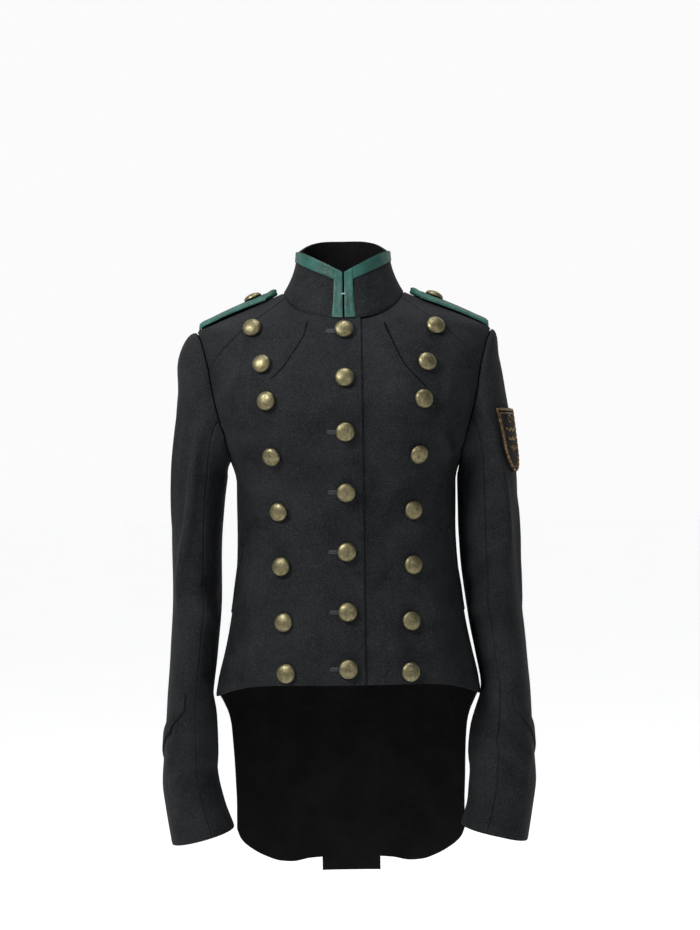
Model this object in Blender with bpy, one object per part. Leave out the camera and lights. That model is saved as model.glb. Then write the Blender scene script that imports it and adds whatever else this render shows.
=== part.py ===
# Women's military style tailcoat in its hollow worn form: a stand-collar jacket with a straight
# waist hem in front, a long cutaway tail behind, two-piece sleeves and three rows of domed buttons.
# The wearer's right is at -X and the front faces -Y. The origin lies on the mid-plane, level with
# the points where the collar meets the shoulder ridge. Sizes are in millimetres until the mesh is made.
import math

import bmesh
import bpy
import numpy as np

# Driving dimensions
MM = 0.001
CLOTH = 2.0
SEAM_GAP = 0.3
LIFT = 0.3
HEM_FRONT = -479.0
HEM_SIDE = -502.0
FRONT_LAP = 20.0
LAP_GAP = 1.2
LAP_EASE_START = 10.0
LAP_EASE = 36.0
NECK_HALF_WIDTH = 74.5
NECK_FRONT = 75.0
NECK_BACK = 62.0
NECK_POWER = 2.2
NECK_YOKE_X = 71.0
YOKE_ARMHOLE_HEIGHT = -103.0
SHOULDER_SEAM_Y = 9.0
ARMHOLE_CENTRE = -133.0
ARMHOLE_HALF_HEIGHT = 79.0
ARMHOLE_HALF_ANGLE = 27.0
ARMHOLE_POWER = 3.0
SIDE_SEAM_ANGLE = 97.0
PRINCESS_ARMHOLE_HEIGHT = -130.0
TAIL_END = -749.0
BUTTON_RADIUS = 11.4
BUTTON_SIDES = 10
BUTTON_SEAT = 0.3
TOP_BUTTON_LIFT = 0.5
CENTRE_BUTTON_LIFT = 0.2
SECTION_POWER = 2.4
BUST_FULLNESS = 5.0
BUST_X = 76.0
BUST_Z = -158.0
BUST_SPREAD = 46.0

# How many cells each stretch of a panel has
HEM_TO_UNDERARM = 9
ARMHOLE_FRONT = 8
ARMHOLE_YOKE = 5
ARMHOLE_BACK = 4
ARMHOLE_SIDE_BACK = 8
NECK_FRONT_CELLS = 4
NECK_BACK_CELLS = 3
YOKE_CELLS = 8
TAIL_CELLS = 7
BACK_FADE = 8
SIDE_BACK_FADE = 2

# Horizontal sections of the body: height, half width, depth in front and depth behind the mid-plane
SECTION = [
    (-760, 172.0, 121.0, 131.0),
    (-700, 171.0, 121.0, 130.0),
    (-620, 169.5, 121.0, 127.0),
    (-560, 168.0, 121.0, 124.0),
    (-505, 164.0, 120.5, 120.0),
    (-480, 160.0, 118.0, 117.0),
    (-450, 153.0, 115.0, 113.0),
    (-420, 147.0, 111.0, 109.0),
    (-375, 140.0, 106.0, 103.0),
    (-330, 136.0, 102.0, 98.0),
    (-285, 134.5, 103.0, 98.0),
    (-240, 135.0, 109.0, 103.0),
    (-212, 143.0, 114.0, 107.0),
    (-190, 156.0, 117.0, 110.5),
    (-150, 171.0, 118.0, 115.0),
    (-130, 176.0, 114.0, 115.0),
    (-103, 180.5, 105.0, 112.0),
    (-75, 184.0, 92.0, 106.0),
    (-62, 184.0, 85.0, 102.0),
    (-53, 181.0, 80.0, 98.0),
    (-42.5, 159.5, 75.0, 93.0),
    (-30, 130.5, 57.0, 88.0),
    (-17, 100.5, 40.0, 82.0),
    (-5.8, 74.5, 30.0, 77.0),
    (0, 61.0, 26.0, 74.0),
    (12, 33.0, 20.0, 62.0),
    (22, 12.0, 12.0, 40.0),
]

# Front yoke seam: distance from the mid-plane and height
YOKE_SEAM = [(71, -17), (95, -36), (113, -50), (131, -65.5), (150, -84), (166, -106)]

# Seam between centre back and side back: height and distance from the mid-plane
PRINCESS_SEAM = [
    (-760, 38.0), (-700, 38.0), (-505, 36.0), (-330, 33.0), (-240, 44.0), (-190, 70.0), (-150, 116.0), (-130, 158.0),
]

# Front edge of the tail below the hem: height and distance from the mid-plane
TAIL_EDGE = [
    (-684, 147.0), (-650, 146.5), (-621, 147.5), (-578, 149.0), (-550, 150.5), (-533, 153.5), (-518, 158.5), (-502, 163.6),
]

# Lower edge of a tail lobe: distance from the mid-plane and height
LOBE_EDGE = [(38, -731.5), (55, -732.5), (75, -735.5), (92, -733.5), (112, -725), (130, -712), (142, -698), (147, -684)]

# Sleeve rings below the armhole: height, centre x, half width, centre y, half depth, drop of the outer side
SLEEVE_RING = [
    (-226, 180.0, 33.0, 0.0, 61.0, -12.0),
    (-262, 183.0, 31.5, 1.0, 60.5, -6.0),
    (-313, 185.5, 30.8, 3.0, 59.5, 0.0),
    (-385, 186.5, 30.0, 5.0, 58.0, 0.0),
    (-450, 191.5, 29.0, 3.0, 56.0, 0.0),
    (-510, 197.0, 28.0, -1.0, 54.0, 2.0),
    (-560, 198.0, 30.5, -5.0, 51.0, 4.0),
    (-600, 197.0, 34.0, -9.0, 49.0, 7.0),
    (-635, 191.0, 35.5, -13.0, 46.5, 11.0),
    (-679, 180.5, 39.0, -17.0, 44.0, 15.0),
]
SLEEVE_POWER = 2.15
CAP_ROWS = 5
TUBE_ROWS = 13

# Buttons: distance from the mid-plane and height, down the centre and down a side column
CENTRE_BUTTONS = [-59.0, -117.0, -180.5, -251.5, -322.5, -393.5, -460.0]
SIDE_BUTTONS = [
    (109.5, -54.5), (97.5, -99.0), (92.0, -143.0), (85.5, -207.0), (79.0, -274.0), (77.5, -339.5), (75.5, -405.5),
    (73.0, -465.0),
]
EPAULETTE_BUTTON_X = 111.0

# Epaulettes
EPAULETTE_TIP = 83.0
EPAULETTE_SHOULDER = 96.0
EPAULETTE_END = 177.5
EPAULETTE_HALF_INNER = 20.0
EPAULETTE_HALF_OUTER = 25.0
EPAULETTE_THICKNESS = 3.0
EPAULETTE_RIBBON = 7.0
EPAULETTE_LIFT = 1.2
EPAULETTE_RIBBON_SLACK = 0.35
RIBBON_THICKNESS = 0.6

# Collar
COLLAR_WALL = 2.5
COLLAR_TOP_FRONT = 13.0
COLLAR_TOP_SIDE = 44.0
COLLAR_TOP_BACK = 64.0
COLLAR_TOP_HALF_WIDTH = 57.5
COLLAR_TOP_DEPTH = 59.0
COLLAR_TOP_CENTRE_Y = -3.0
COLLAR_RIBBON = 13.0
COLLAR_OPENING = 1.2
HOOK_HEIGHT = 0.52
HOOK_LENGTH = 4.6
HOOK_RADIUS = 0.8
HOOK_SIDES = 8

# Slanted welts: angle round the body or sleeve and height, at the start and the end
POCKET_START = (60.5, -296.0)
POCKET_END = (86.0, -400.0)
POCKET_WIDTH = 12.0
FOREARM_START = (0.005, -494.0)
FOREARM_END = (0.36, -580.0)
FOREARM_WIDTH = 19.0
WELT_THICKNESS = 1.8

# Shield patch on the wearer's left sleeve: turn round the sleeve from the front, and height
PATCH_TURN = 0.135
PATCH_HEIGHT = -192.0
PATCH_HALF_HEIGHT = 39.5
PATCH_HALF_WIDTH = 29.0
PATCH_THICKNESS = 1.6
PATCH_BORDER = 3.2

# Colours: red, green, blue in linear values, roughness, metallic
WOOL = ((0.012, 0.0125, 0.0135), 0.85, 0.0)
RIBBON = ((0.02, 0.155, 0.13), 0.4, 0.0)
BRASS = ((0.36, 0.27, 0.12), 0.35, 1.0)
STEEL = ((0.45, 0.45, 0.44), 0.3, 1.0)
BULLION = ((0.2, 0.12, 0.055), 0.45, 0.6)


def smooth(keys, values, at):
    """Monotone cubic through a table: slopes are harmonic means, so no row is overshot."""
    keys = np.asarray(keys, float)
    values = np.asarray(values, float)
    order = np.argsort(keys)
    keys = keys[order]
    values = values[order]
    step = np.diff(keys)
    rise = np.diff(values) / step
    slope = np.zeros_like(values)
    same = rise[1:] * rise[:-1] > 0
    total = np.where(same, rise[1:] + rise[:-1], 1.0)
    slope[1:-1] = np.where(same, 2 * rise[1:] * rise[:-1] / total, 0.0)
    slope[0] = rise[0]
    slope[-1] = rise[-1]
    at = np.clip(np.asarray(at, float), keys[0], keys[-1])
    cell = np.clip(np.searchsorted(keys, at, side="right") - 1, 0, len(step) - 1)
    width = step[cell]
    t = (at - keys[cell]) / width
    return (
        (2 * t**3 - 3 * t**2 + 1) * values[cell]
        + (t**3 - 2 * t**2 + t) * width * slope[cell]
        + (3 * t**2 - 2 * t**3) * values[cell + 1]
        + (t**3 - t**2) * width * slope[cell + 1]
    )


def column(table, index):
    """One named column of a table as an array."""
    return np.array([row[index] for row in table], float)


def half_width(z):
    return smooth(column(SECTION, 0), column(SECTION, 1), z)


def front_depth(x, z):
    """Depth of the front at the mid-plane, with the rounded fullness of the bust on each side."""
    spread = ((np.abs(x) - BUST_X) ** 2 + (z - BUST_Z) ** 2) / BUST_SPREAD**2
    return smooth(column(SECTION, 0), column(SECTION, 2), z) + BUST_FULLNESS * np.exp(-spread)


def back_depth(z):
    return smooth(column(SECTION, 0), column(SECTION, 3), z)


def form_value(p):
    """One on the body form, less inside it: a rounded-square oval in each horizontal section."""
    x, y, z = p[..., 0], p[..., 1], p[..., 2]
    depth = np.where(y < 0, front_depth(x, z), back_depth(z))
    return np.abs(x / half_width(z)) ** SECTION_POWER + np.abs(y / depth) ** SECTION_POWER


def form_normal(p):
    """Outward unit normal of the body form, from small differences of its value."""
    small = 0.4
    parts = []
    for axis in range(3):
        step = np.zeros(3)
        step[axis] = small
        parts.append(form_value(p + step) - form_value(p - step))
    normal = np.stack(parts, axis=-1)
    return normal / np.linalg.norm(normal, axis=-1, keepdims=True)


def form_point(angle, z):
    """Point on the form at an angle in degrees round from the centre front, and a height."""
    angle, z = np.broadcast_arrays(np.asarray(angle, float), np.asarray(z, float))
    turn = np.radians(angle)
    power = 2 / SECTION_POWER
    x = half_width(z) * np.sign(np.sin(turn)) * np.abs(np.sin(turn)) ** power
    depth = np.where(np.cos(turn) > 0, front_depth(x, z), back_depth(z))
    y = -depth * np.sign(np.cos(turn)) * np.abs(np.cos(turn)) ** power
    return np.stack([x, y, z], axis=-1)


def angle_at(x, z, behind=False):
    """Angle of the form's point at a distance x from the mid-plane and a height z."""
    share = np.clip(np.abs(x) / half_width(z), 0, 1) ** (SECTION_POWER / 2)
    angle = np.degrees(np.arcsin(share)) * np.sign(x)
    return 180 - angle if behind else angle


def form_top(x, y):
    """Height of the form straight above a point in plan, by halving the interval."""
    low = np.full(np.broadcast(x, y).shape, -150.0)
    high = np.full_like(low, 21.9)
    for _ in range(40):
        middle = (low + high) / 2
        inside = form_value(np.stack(np.broadcast_arrays(x, y, middle), axis=-1)) < 1
        low = np.where(inside, middle, low)
        high = np.where(inside, high, middle)
    return (low + high) / 2


def plan_to_form(x, y):
    """Angle and height of the form's point above a point in plan."""
    z = form_top(x, y)
    depth = np.where(y < 0, front_depth(x, z), back_depth(z))
    across = np.abs(x / half_width(z)) ** (SECTION_POWER / 2) * np.sign(x)
    along = np.abs(y / depth) ** (SECTION_POWER / 2) * -np.sign(y)
    return np.stack([np.degrees(np.arctan2(across, along)), z], axis=-1)


def girth(angle, z, start):
    """Length round the section at a height, from a start angle to an angle."""
    share = np.linspace(0, 1, 121)
    turns = start + (angle - start)[..., None] * share
    points = form_point(turns, z[..., None] + 0 * turns)
    length = np.linalg.norm(np.diff(points, axis=-2), axis=-1).sum(axis=-1)
    return length * np.sign(angle - start)


def angle_for_girth(length, z, start):
    """Angle at which the girth from the start reaches a length, by halving the interval."""
    low = np.full(length.shape, start - 130.0)
    high = np.full(length.shape, start + 130.0)
    for _ in range(24):
        middle = (low + high) / 2
        short = girth(middle, z, start) < length
        low = np.where(short, middle, low)
        high = np.where(short, high, middle)
    return (low + high) / 2


def settle(points):
    """Move points straight onto the body form, in a few steps along its normal."""
    small = 0.4
    for _ in range(12):
        depth = form_value(points) ** (1 / SECTION_POWER) - 1
        normal = form_normal(points)
        ahead = form_value(points + normal * small) ** (1 / SECTION_POWER) - 1
        slope = np.maximum((ahead - depth) / small, 1e-4)
        points = points - normal * np.clip(depth / slope, -12, 12)[..., None]
    return points


def even_samples(path, count, to_point=lambda path: form_point(path[:, 0], path[:, 1])):
    """Pick count + 1 rows of a dense path so that they lie evenly along it."""
    points = to_point(path)
    length = np.concatenate([[0], np.cumsum(np.linalg.norm(np.diff(points, axis=0), axis=1))])
    marks = np.linspace(0, length[-1], count + 1)
    return np.stack([np.interp(marks, length, path[:, k]) for k in range(path.shape[1])], axis=-1)


def armhole_path(start, end):
    """Stretch of the armhole, a rounded-square loop in angle and height, turned start to end degrees."""
    turn = np.radians(np.linspace(start, end, 400))
    power = 2 / ARMHOLE_POWER
    angle = 90 - ARMHOLE_HALF_ANGLE * np.sign(np.cos(turn)) * np.abs(np.cos(turn)) ** power
    z = ARMHOLE_CENTRE + ARMHOLE_HALF_HEIGHT * np.sign(np.sin(turn)) * np.abs(np.sin(turn)) ** power
    return np.stack([angle, z], axis=-1)


def turn_for(share):
    """Turn in degrees at which the armhole's rounded square has a given share of its half size."""
    return math.degrees(math.asin(abs(share) ** (ARMHOLE_POWER / 2)))


def neck_plan(turn):
    """Neckline in plan: an oval, turned in degrees from the centre front."""
    turn = np.radians(np.asarray(turn, float))
    power = 2 / NECK_POWER
    x = NECK_HALF_WIDTH * np.sign(np.sin(turn)) * np.abs(np.sin(turn)) ** power
    depth = np.where(np.cos(turn) > 0, NECK_FRONT, NECK_BACK)
    y = -depth * np.sign(np.cos(turn)) * np.abs(np.cos(turn)) ** power
    return x, y


def neck_turn(x):
    """Turn of the front neckline's point at a distance x from the mid-plane."""
    share = (abs(x) / NECK_HALF_WIDTH) ** (NECK_POWER / 2)
    return math.copysign(math.degrees(math.asin(share)), x)


# Neckline samples, shared by the collar and by every panel that meets it
TURN_YOKE = neck_turn(NECK_YOKE_X)
TURN_SEAM = 90 + math.degrees(math.asin((SHOULDER_SEAM_Y / NECK_BACK) ** (NECK_POWER / 2)))
NECK_TURNS = np.concatenate([
    [0.0],
    np.linspace(neck_turn(FRONT_LAP), TURN_YOKE, NECK_FRONT_CELLS + 1),
    np.linspace(TURN_YOKE, TURN_SEAM, ARMHOLE_YOKE + 1)[1:],
    np.linspace(TURN_SEAM, 180, NECK_BACK_CELLS + 1)[1:],
])
NECK_FRONT_END = NECK_FRONT_CELLS + 2
NECK_YOKE_END = NECK_FRONT_END + ARMHOLE_YOKE

# Armhole stretches, from the yoke seam over the shoulder, down the back, under the arm and up the front
TURN_FRONT_YOKE = turn_for((YOKE_ARMHOLE_HEIGHT - ARMHOLE_CENTRE) / ARMHOLE_HALF_HEIGHT)
TURN_PRINCESS = 180 - turn_for((PRINCESS_ARMHOLE_HEIGHT - ARMHOLE_CENTRE) / ARMHOLE_HALF_HEIGHT)
TURN_SHOULDER_SEAM = 90 + turn_for(4.2 / ARMHOLE_HALF_ANGLE)
TURN_SIDE_SEAM = 270 - turn_for((SIDE_SEAM_ANGLE - 90) / ARMHOLE_HALF_ANGLE)
ARM_YOKE = even_samples(armhole_path(TURN_FRONT_YOKE, TURN_SHOULDER_SEAM), ARMHOLE_YOKE)
ARM_BACK = even_samples(armhole_path(TURN_SHOULDER_SEAM, TURN_PRINCESS), ARMHOLE_BACK)
ARM_SIDE_BACK = even_samples(armhole_path(TURN_PRINCESS, TURN_SIDE_SEAM), ARMHOLE_SIDE_BACK)
ARM_FRONT = even_samples(armhole_path(TURN_SIDE_SEAM, 360 + TURN_FRONT_YOKE), ARMHOLE_FRONT)


def neck_on_form(turns):
    x, y = neck_plan(turns)
    return plan_to_form(x, y)


def yoke_seam():
    """Yoke seam from the neckline to the armhole, as angle and height."""
    start = neck_on_form(np.array([TURN_YOKE]))[0]
    end = ARM_YOKE[0]
    x_end = form_point(end[0], end[1])[0]
    x = np.linspace(NECK_YOKE_X, x_end, 200)
    z = smooth(column(YOKE_SEAM, 0), column(YOKE_SEAM, 1), x)
    along = np.linspace(0, 1, 200)
    z = z + (start[1] - z[0]) * (1 - along) + (end[1] - z[-1]) * along
    path = np.stack([angle_at(x, z), z], axis=-1)
    path[0] = start
    path[-1] = end
    return even_samples(path, YOKE_CELLS)


def shoulder_seam():
    """Shoulder seam just behind the ridge, from the neckline to the armhole."""
    start = neck_plan(TURN_SEAM)
    end = form_point(*ARM_YOKE[-1])
    path = plan_to_form(np.linspace(start[0], end[0], 200), np.linspace(start[1], end[1], 200))
    path[-1] = ARM_YOKE[-1]
    return even_samples(path, YOKE_CELLS)


def hem_height(angle):
    """Straight front hem: it hangs a little lower at the side seam than at the centre."""
    turn = np.radians(np.clip(np.abs(angle), 0, 90))
    return HEM_FRONT + (HEM_SIDE - HEM_FRONT) * np.sin(turn) ** 2.5


def side_seam():
    z = np.linspace(HEM_SIDE, ARM_FRONT[0][1], HEM_TO_UNDERARM + 1)
    return np.stack([np.full_like(z, SIDE_SEAM_ANGLE), z], axis=-1)


def princess_seam(count):
    """Centre-back seam from the tail's end up to the armhole."""
    z = np.linspace(LOBE_EDGE[0][1], PRINCESS_ARMHOLE_HEIGHT, 400)
    x = smooth(column(PRINCESS_SEAM, 0), column(PRINCESS_SEAM, 1), z)
    path = np.stack([angle_at(x, z, True), z], axis=-1)
    path[-1] = ARM_BACK[-1]
    return even_samples(path, count)


def patch_between(bottom, top, left, right, fade=1):
    """Fill between four edges: straight from left to right, plus the bends of the bottom and the top.

    The top's bend fades downward with the power fade, so that a wide top doesn't push a narrow waist."""
    v = np.linspace(0, 1, len(left))[:, None, None] ** fade
    u = np.linspace(0, 1, len(bottom))[None, :, None]
    straight = (1 - u) * left[:, None] + u * right[:, None]
    bottom_bend = bottom[None] - (1 - u) * bottom[0] - u * bottom[-1]
    top_bend = top[None] - (1 - u) * top[0] - u * top[-1]
    return straight + (1 - v) * bottom_bend + v * top_bend


def panel_between(bottom, top, left, right, start, fade=1):
    """Fill between four edges of angle and height along the cloth: by girth from a start angle."""
    edges = []
    for edge in (bottom, top, left, right):
        edges.append(np.stack([girth(edge[:, 0], edge[:, 1], start), edge[:, 1]], axis=-1))
    flat = patch_between(*edges, fade)
    angle = angle_for_girth(flat[..., 0], flat[..., 1], start)
    angle[0], angle[-1] = bottom[:, 0], top[:, 0]
    angle[:, 0], angle[:, -1] = left[:, 0], right[:, 0]
    return form_point(angle, flat[..., 1])


def draw_in(grid, sides="news"):
    """Move the named edges of a panel inward along the cloth by half the seam gap."""
    moved = grid.copy()
    edges = {
        "s": (np.s_[0], np.s_[1]),
        "n": (np.s_[-1], np.s_[-2]),
        "w": (np.s_[:, 0], np.s_[:, 1]),
        "e": (np.s_[:, -1], np.s_[:, -2]),
    }
    for side in sides:
        edge, next_row = edges[side]
        away = grid[next_row] - grid[edge]
        length = np.maximum(np.linalg.norm(away, axis=-1, keepdims=True), 1e-6)
        moved[edge] = moved[edge] + away / length * SEAM_GAP / 2
    return moved


def grid_normals(grid):
    """Unit normals of a grid of points, from its own differences."""
    across = np.gradient(grid, axis=1)
    along = np.gradient(grid, axis=0)
    normal = np.cross(across, along)
    return normal / np.maximum(np.linalg.norm(normal, axis=-1, keepdims=True), 1e-9)


def mirror(points, side):
    """Points for the wearer's left at side 1 and for the right at side -1."""
    return points * np.array([side, 1.0, 1.0])


def finish_material(name, look):
    colour, roughness, metallic = look
    material = bpy.data.materials.get(name) or bpy.data.materials.new(name)
    material.use_nodes = True
    shader = material.node_tree.nodes["Principled BSDF"]
    shader.inputs["Base Color"].default_value = (*colour, 1.0)
    shader.inputs["Roughness"].default_value = roughness
    shader.inputs["Metallic"].default_value = metallic
    material.diffuse_color = (*colour, 1.0)
    return material


def add_solid(name, points, faces, look, smooth_angle=40.0):
    """Make one closed solid from points in millimetres, with its faces turned outward."""
    mesh = bpy.data.meshes.new(name)
    mesh.from_pydata((np.asarray(points) * MM).tolist(), [], faces)
    work = bmesh.new()
    work.from_mesh(mesh)
    bmesh.ops.recalc_face_normals(work, faces=work.faces)
    work.to_mesh(mesh)
    work.free()
    mesh.shade_smooth()
    mesh.set_sharp_from_angle(angle=math.radians(smooth_angle))
    mesh.materials.append(finish_material(name + "_finish", look))
    solid = bpy.data.objects.new(name, mesh)
    bpy.context.scene.collection.objects.link(solid)
    return solid


def add_wall(name, outer, inner, look):
    """A closed wall between two grids of points: outer face, inner face and the rim round them."""
    rows, cols = outer.shape[:2]
    count = rows * cols
    index = np.arange(count).reshape(rows, cols)
    a, b = index[:-1, :-1].ravel(), index[:-1, 1:].ravel()
    c, d = index[1:, 1:].ravel(), index[1:, :-1].ravel()
    faces = np.stack([a, b, c, d], axis=-1).tolist()
    faces += (np.stack([d, c, b, a], axis=-1) + count).tolist()
    rim = np.concatenate([index[0, :-1], index[:-1, -1], index[-1, :0:-1], index[:0:-1, 0]])
    after = np.roll(rim, -1)
    faces += np.stack([after, rim, rim + count, after + count], axis=-1).tolist()
    points = np.concatenate([outer.reshape(-1, 3), inner.reshape(-1, 3)])
    return add_solid(name, points, faces, look)


def add_panel(name, grid, side, sides="news", sink=None):
    """A body panel from a grid of points on the form; sink moves points in, under a lapping panel."""
    outer = draw_in(grid, sides)
    normal = form_normal(outer)
    if sink is not None:
        outer = outer - normal * sink[..., None]
    return add_wall(name, mirror(outer, side), mirror(outer - normal * CLOTH, side), WOOL)


def make_fronts():
    """Two fronts: the wearer's right laps over the left, which runs on beneath it."""
    for name, side in (("front_right", -1), ("front_left", 1)):
        right = np.concatenate([side_seam(), ARM_FRONT[1:]])
        neck = neck_on_form(np.concatenate([[-neck_turn(FRONT_LAP)], NECK_TURNS[:NECK_FRONT_END]]))
        top = np.concatenate([neck, yoke_seam()[1:]])
        rows = len(right)
        underarm_row = HEM_TO_UNDERARM + 3
        heights = np.concatenate([
            np.linspace(HEM_FRONT, -206.0, underarm_row + 1),
            np.linspace(-206.0, top[0][1], rows - underarm_row)[1:],
        ])
        left = np.stack([-angle_at(np.full(rows, FRONT_LAP), heights), heights], axis=-1)
        left[-1] = top[0]
        hem = np.linspace(left[0][0], SIDE_SEAM_ANGLE, 300)
        bottom = even_samples(np.stack([hem, hem_height(hem)], axis=-1), len(top) - 1)
        grid = panel_between(bottom, top, left, right, 0.0)
        sink = None
        if side == 1:
            ease = np.clip((grid[..., 0] - FRONT_LAP - LAP_EASE_START) / LAP_EASE, 0, 1)
            sink = (CLOTH + LAP_GAP) * (1 - ease * ease * (3 - 2 * ease))
        add_panel(name, grid, side, "nes", sink)


def make_yokes():
    for name, side in (("yoke_right", -1), ("yoke_left", 1)):
        left = neck_on_form(NECK_TURNS[NECK_FRONT_END - 1:NECK_YOKE_END])
        edges = (yoke_seam(), shoulder_seam(), left, ARM_YOKE)
        grid = settle(patch_between(*(form_point(edge[:, 0], edge[:, 1]) for edge in edges)))
        add_panel(name, grid, side)


def make_back():
    """Centre back in one piece, and a side back with its tail lobe on each side."""
    seam_rows = TAIL_CELLS + HEM_TO_UNDERARM
    princess = princess_seam(seam_rows)
    neck = neck_on_form(NECK_TURNS[NECK_YOKE_END - 1:])
    half_top = np.concatenate([neck[::-1], shoulder_seam()[1:]])
    right = np.concatenate([[[angle_at(38.0, TAIL_END, True), TAIL_END]], princess, ARM_BACK[::-1][1:]])
    middle = np.full((len(right), 2), 180.0)
    middle[:, 1] = np.concatenate([
        [TAIL_END],
        np.linspace(LOBE_EDGE[0][1], -150.0, seam_rows + 1),
        np.linspace(-150.0, half_top[0][1], ARMHOLE_BACK + 1)[1:],
    ])
    share = np.linspace(0, 1, len(half_top))[:, None]
    bottom = middle[0] * (1 - share) + right[0] * share
    half = panel_between(bottom, half_top, middle, right, 180.0, BACK_FADE)
    add_panel("back_centre", np.concatenate([mirror(half[:, :0:-1], -1), half], axis=1), 1)
    edge_z = column(TAIL_EDGE, 0)
    tail = np.stack([edge_z, column(TAIL_EDGE, 1)], axis=-1)
    z = np.linspace(tail[0][0], tail[-1][0], 300)
    x = smooth(tail[:, 0], tail[:, 1], z)
    path = np.stack([angle_at(x, z, True), z], axis=-1)
    path[-1] = side_seam()[0]
    outer_edge = np.concatenate([even_samples(path, TAIL_CELLS), side_seam()[1:]])
    lobe_x = np.linspace(LOBE_EDGE[0][0], LOBE_EDGE[-1][0], 300)
    lobe_z = smooth(column(LOBE_EDGE, 0), column(LOBE_EDGE, 1), lobe_x)
    lobe = np.stack([angle_at(lobe_x, lobe_z, True), lobe_z], axis=-1)
    lobe[0] = princess[0]
    lobe[-1] = outer_edge[0]
    lobe = even_samples(lobe, ARMHOLE_SIDE_BACK)
    grid = panel_between(lobe, ARM_SIDE_BACK, princess, outer_edge, 180.0, SIDE_BACK_FADE)
    for name, side in (("side_back_right", -1), ("side_back_left", 1)):
        add_panel(name, grid, side, "newws")


def armhole_loop():
    """The armhole once round, starting at the yoke seam in front; the last point repeats the first."""
    parts = [ARM_YOKE, ARM_BACK[1:], ARM_SIDE_BACK[1:], ARM_FRONT[1:]]
    path = np.concatenate(parts)
    return form_point(path[:, 0], path[:, 1])


def sleeve_turns(loop):
    """Turn round the sleeve for each armhole point: 0 in front, a quarter at the outer side."""
    length = np.concatenate([[0], np.cumsum(np.linalg.norm(np.diff(loop, axis=0), axis=1))])
    tip = np.argmax(loop[:, 2])
    under = np.argmin(loop[:, 2])
    front_total = length[-1] - length[under] + length[tip]
    back_total = length[under] - length[tip]
    from_tip = np.where(length >= length[tip], length - length[tip], 0)
    turn = 0.25 + 0.5 * from_tip / back_total
    before = (length[tip] - length) / front_total
    turn = np.where(length < length[tip], 0.25 - 0.5 * before, turn)
    beyond = (length - length[under]) / front_total
    return np.where(length > length[under], 0.75 + 0.5 * beyond, turn)


def sleeve_ring_point(turn, z):
    """Point of the sleeve's tube: a rounded oval at a height, leaning down to its outer side."""
    angle = 2 * np.pi * np.asarray(turn, float)
    power = 2 / SLEEVE_POWER
    across = np.sign(np.sin(angle)) * np.abs(np.sin(angle)) ** power
    ahead = np.sign(np.cos(angle)) * np.abs(np.cos(angle)) ** power
    keys = column(SLEEVE_RING, 0)
    values = [smooth(keys, column(SLEEVE_RING, k), z) for k in range(1, 6)]
    x = values[0] + values[1] * across
    y = values[2] - values[3] * ahead
    return np.stack([x, y, z - values[4] / 2 * across], axis=-1)


def sleeve_grid():
    """Sleeve surface: a cap that rolls out of the armhole, then the rings down to the cuff."""
    loop = armhole_loop()
    turns = sleeve_turns(loop)
    heights = np.linspace(SLEEVE_RING[0][0], SLEEVE_RING[-1][0], TUBE_ROWS + 1)
    tube = np.stack([sleeve_ring_point(turns, np.full_like(turns, z)) for z in heights])
    rise = (loop[:, 2] - loop[:, 2].min()) / np.ptp(loop[:, 2])
    leave = np.stack([14 + 52 * rise, 0.35 * loop[:, 1], -16 + 34 * rise], axis=-1)
    arrive = np.stack([4 * rise, 0 * rise, -(24 + 120 * rise)], axis=-1)
    rows = []
    for t in np.linspace(0, 1, CAP_ROWS + 1)[:-1]:
        rows.append(
            (2 * t**3 - 3 * t**2 + 1) * loop + (t**3 - 2 * t**2 + t) * leave
            + (3 * t**2 - 2 * t**3) * tube[0] + (t**3 - t**2) * arrive
        )
    return np.concatenate([np.stack(rows), tube])


def make_sleeves():
    """Two-piece sleeves: the under sleeve is the stretch below the two armhole notches."""
    grid = sleeve_grid()
    normal = grid_normals(grid)
    normal[:, 0] = normal[:, -1]
    middle = grid[-1].mean(axis=0)
    if ((normal[-1] * (grid[-1] - middle)).sum(axis=-1)).mean() < 0:
        normal = -normal
    inner = grid - normal * CLOTH
    first_under = ARMHOLE_YOKE + ARMHOLE_BACK + 2
    last_under = ARMHOLE_YOKE + ARMHOLE_BACK + ARMHOLE_SIDE_BACK + 5
    last = grid.shape[1] - 1
    upper = np.concatenate([np.arange(last_under, last), np.arange(0, first_under + 1)])
    under = np.arange(first_under, last_under + 1)
    for piece, columns in (("upper_sleeve", upper), ("under_sleeve", under)):
        for name, side in (("right", -1), ("left", 1)):
            outer_part = draw_in(grid[:, columns], "nesws")
            shift = outer_part - grid[:, columns]
            add_wall(piece + "_" + name, mirror(outer_part, side), mirror(inner[:, columns] + shift, side), WOOL)


def sleeve_strip(turn, z, rise):
    """Points on the sleeve's tube at turns and heights, moved out of the cloth by rise."""
    step = 0.002
    point = sleeve_ring_point(turn, z)
    round_it = sleeve_ring_point(turn + step, z) - sleeve_ring_point(turn - step, z)
    up = sleeve_ring_point(turn, z + 1) - sleeve_ring_point(turn, z - 1)
    normal = np.cross(round_it, up)
    normal = normal / np.linalg.norm(normal, axis=-1, keepdims=True)
    return point + normal * rise


def collar_turns():
    """Turns for the collar: the shared neckline samples on both sides, open at the centre front."""
    half = NECK_TURNS.copy()
    half[0] = neck_turn(COLLAR_OPENING)
    return np.concatenate([half, 360 - half[-2::-1]])


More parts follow.
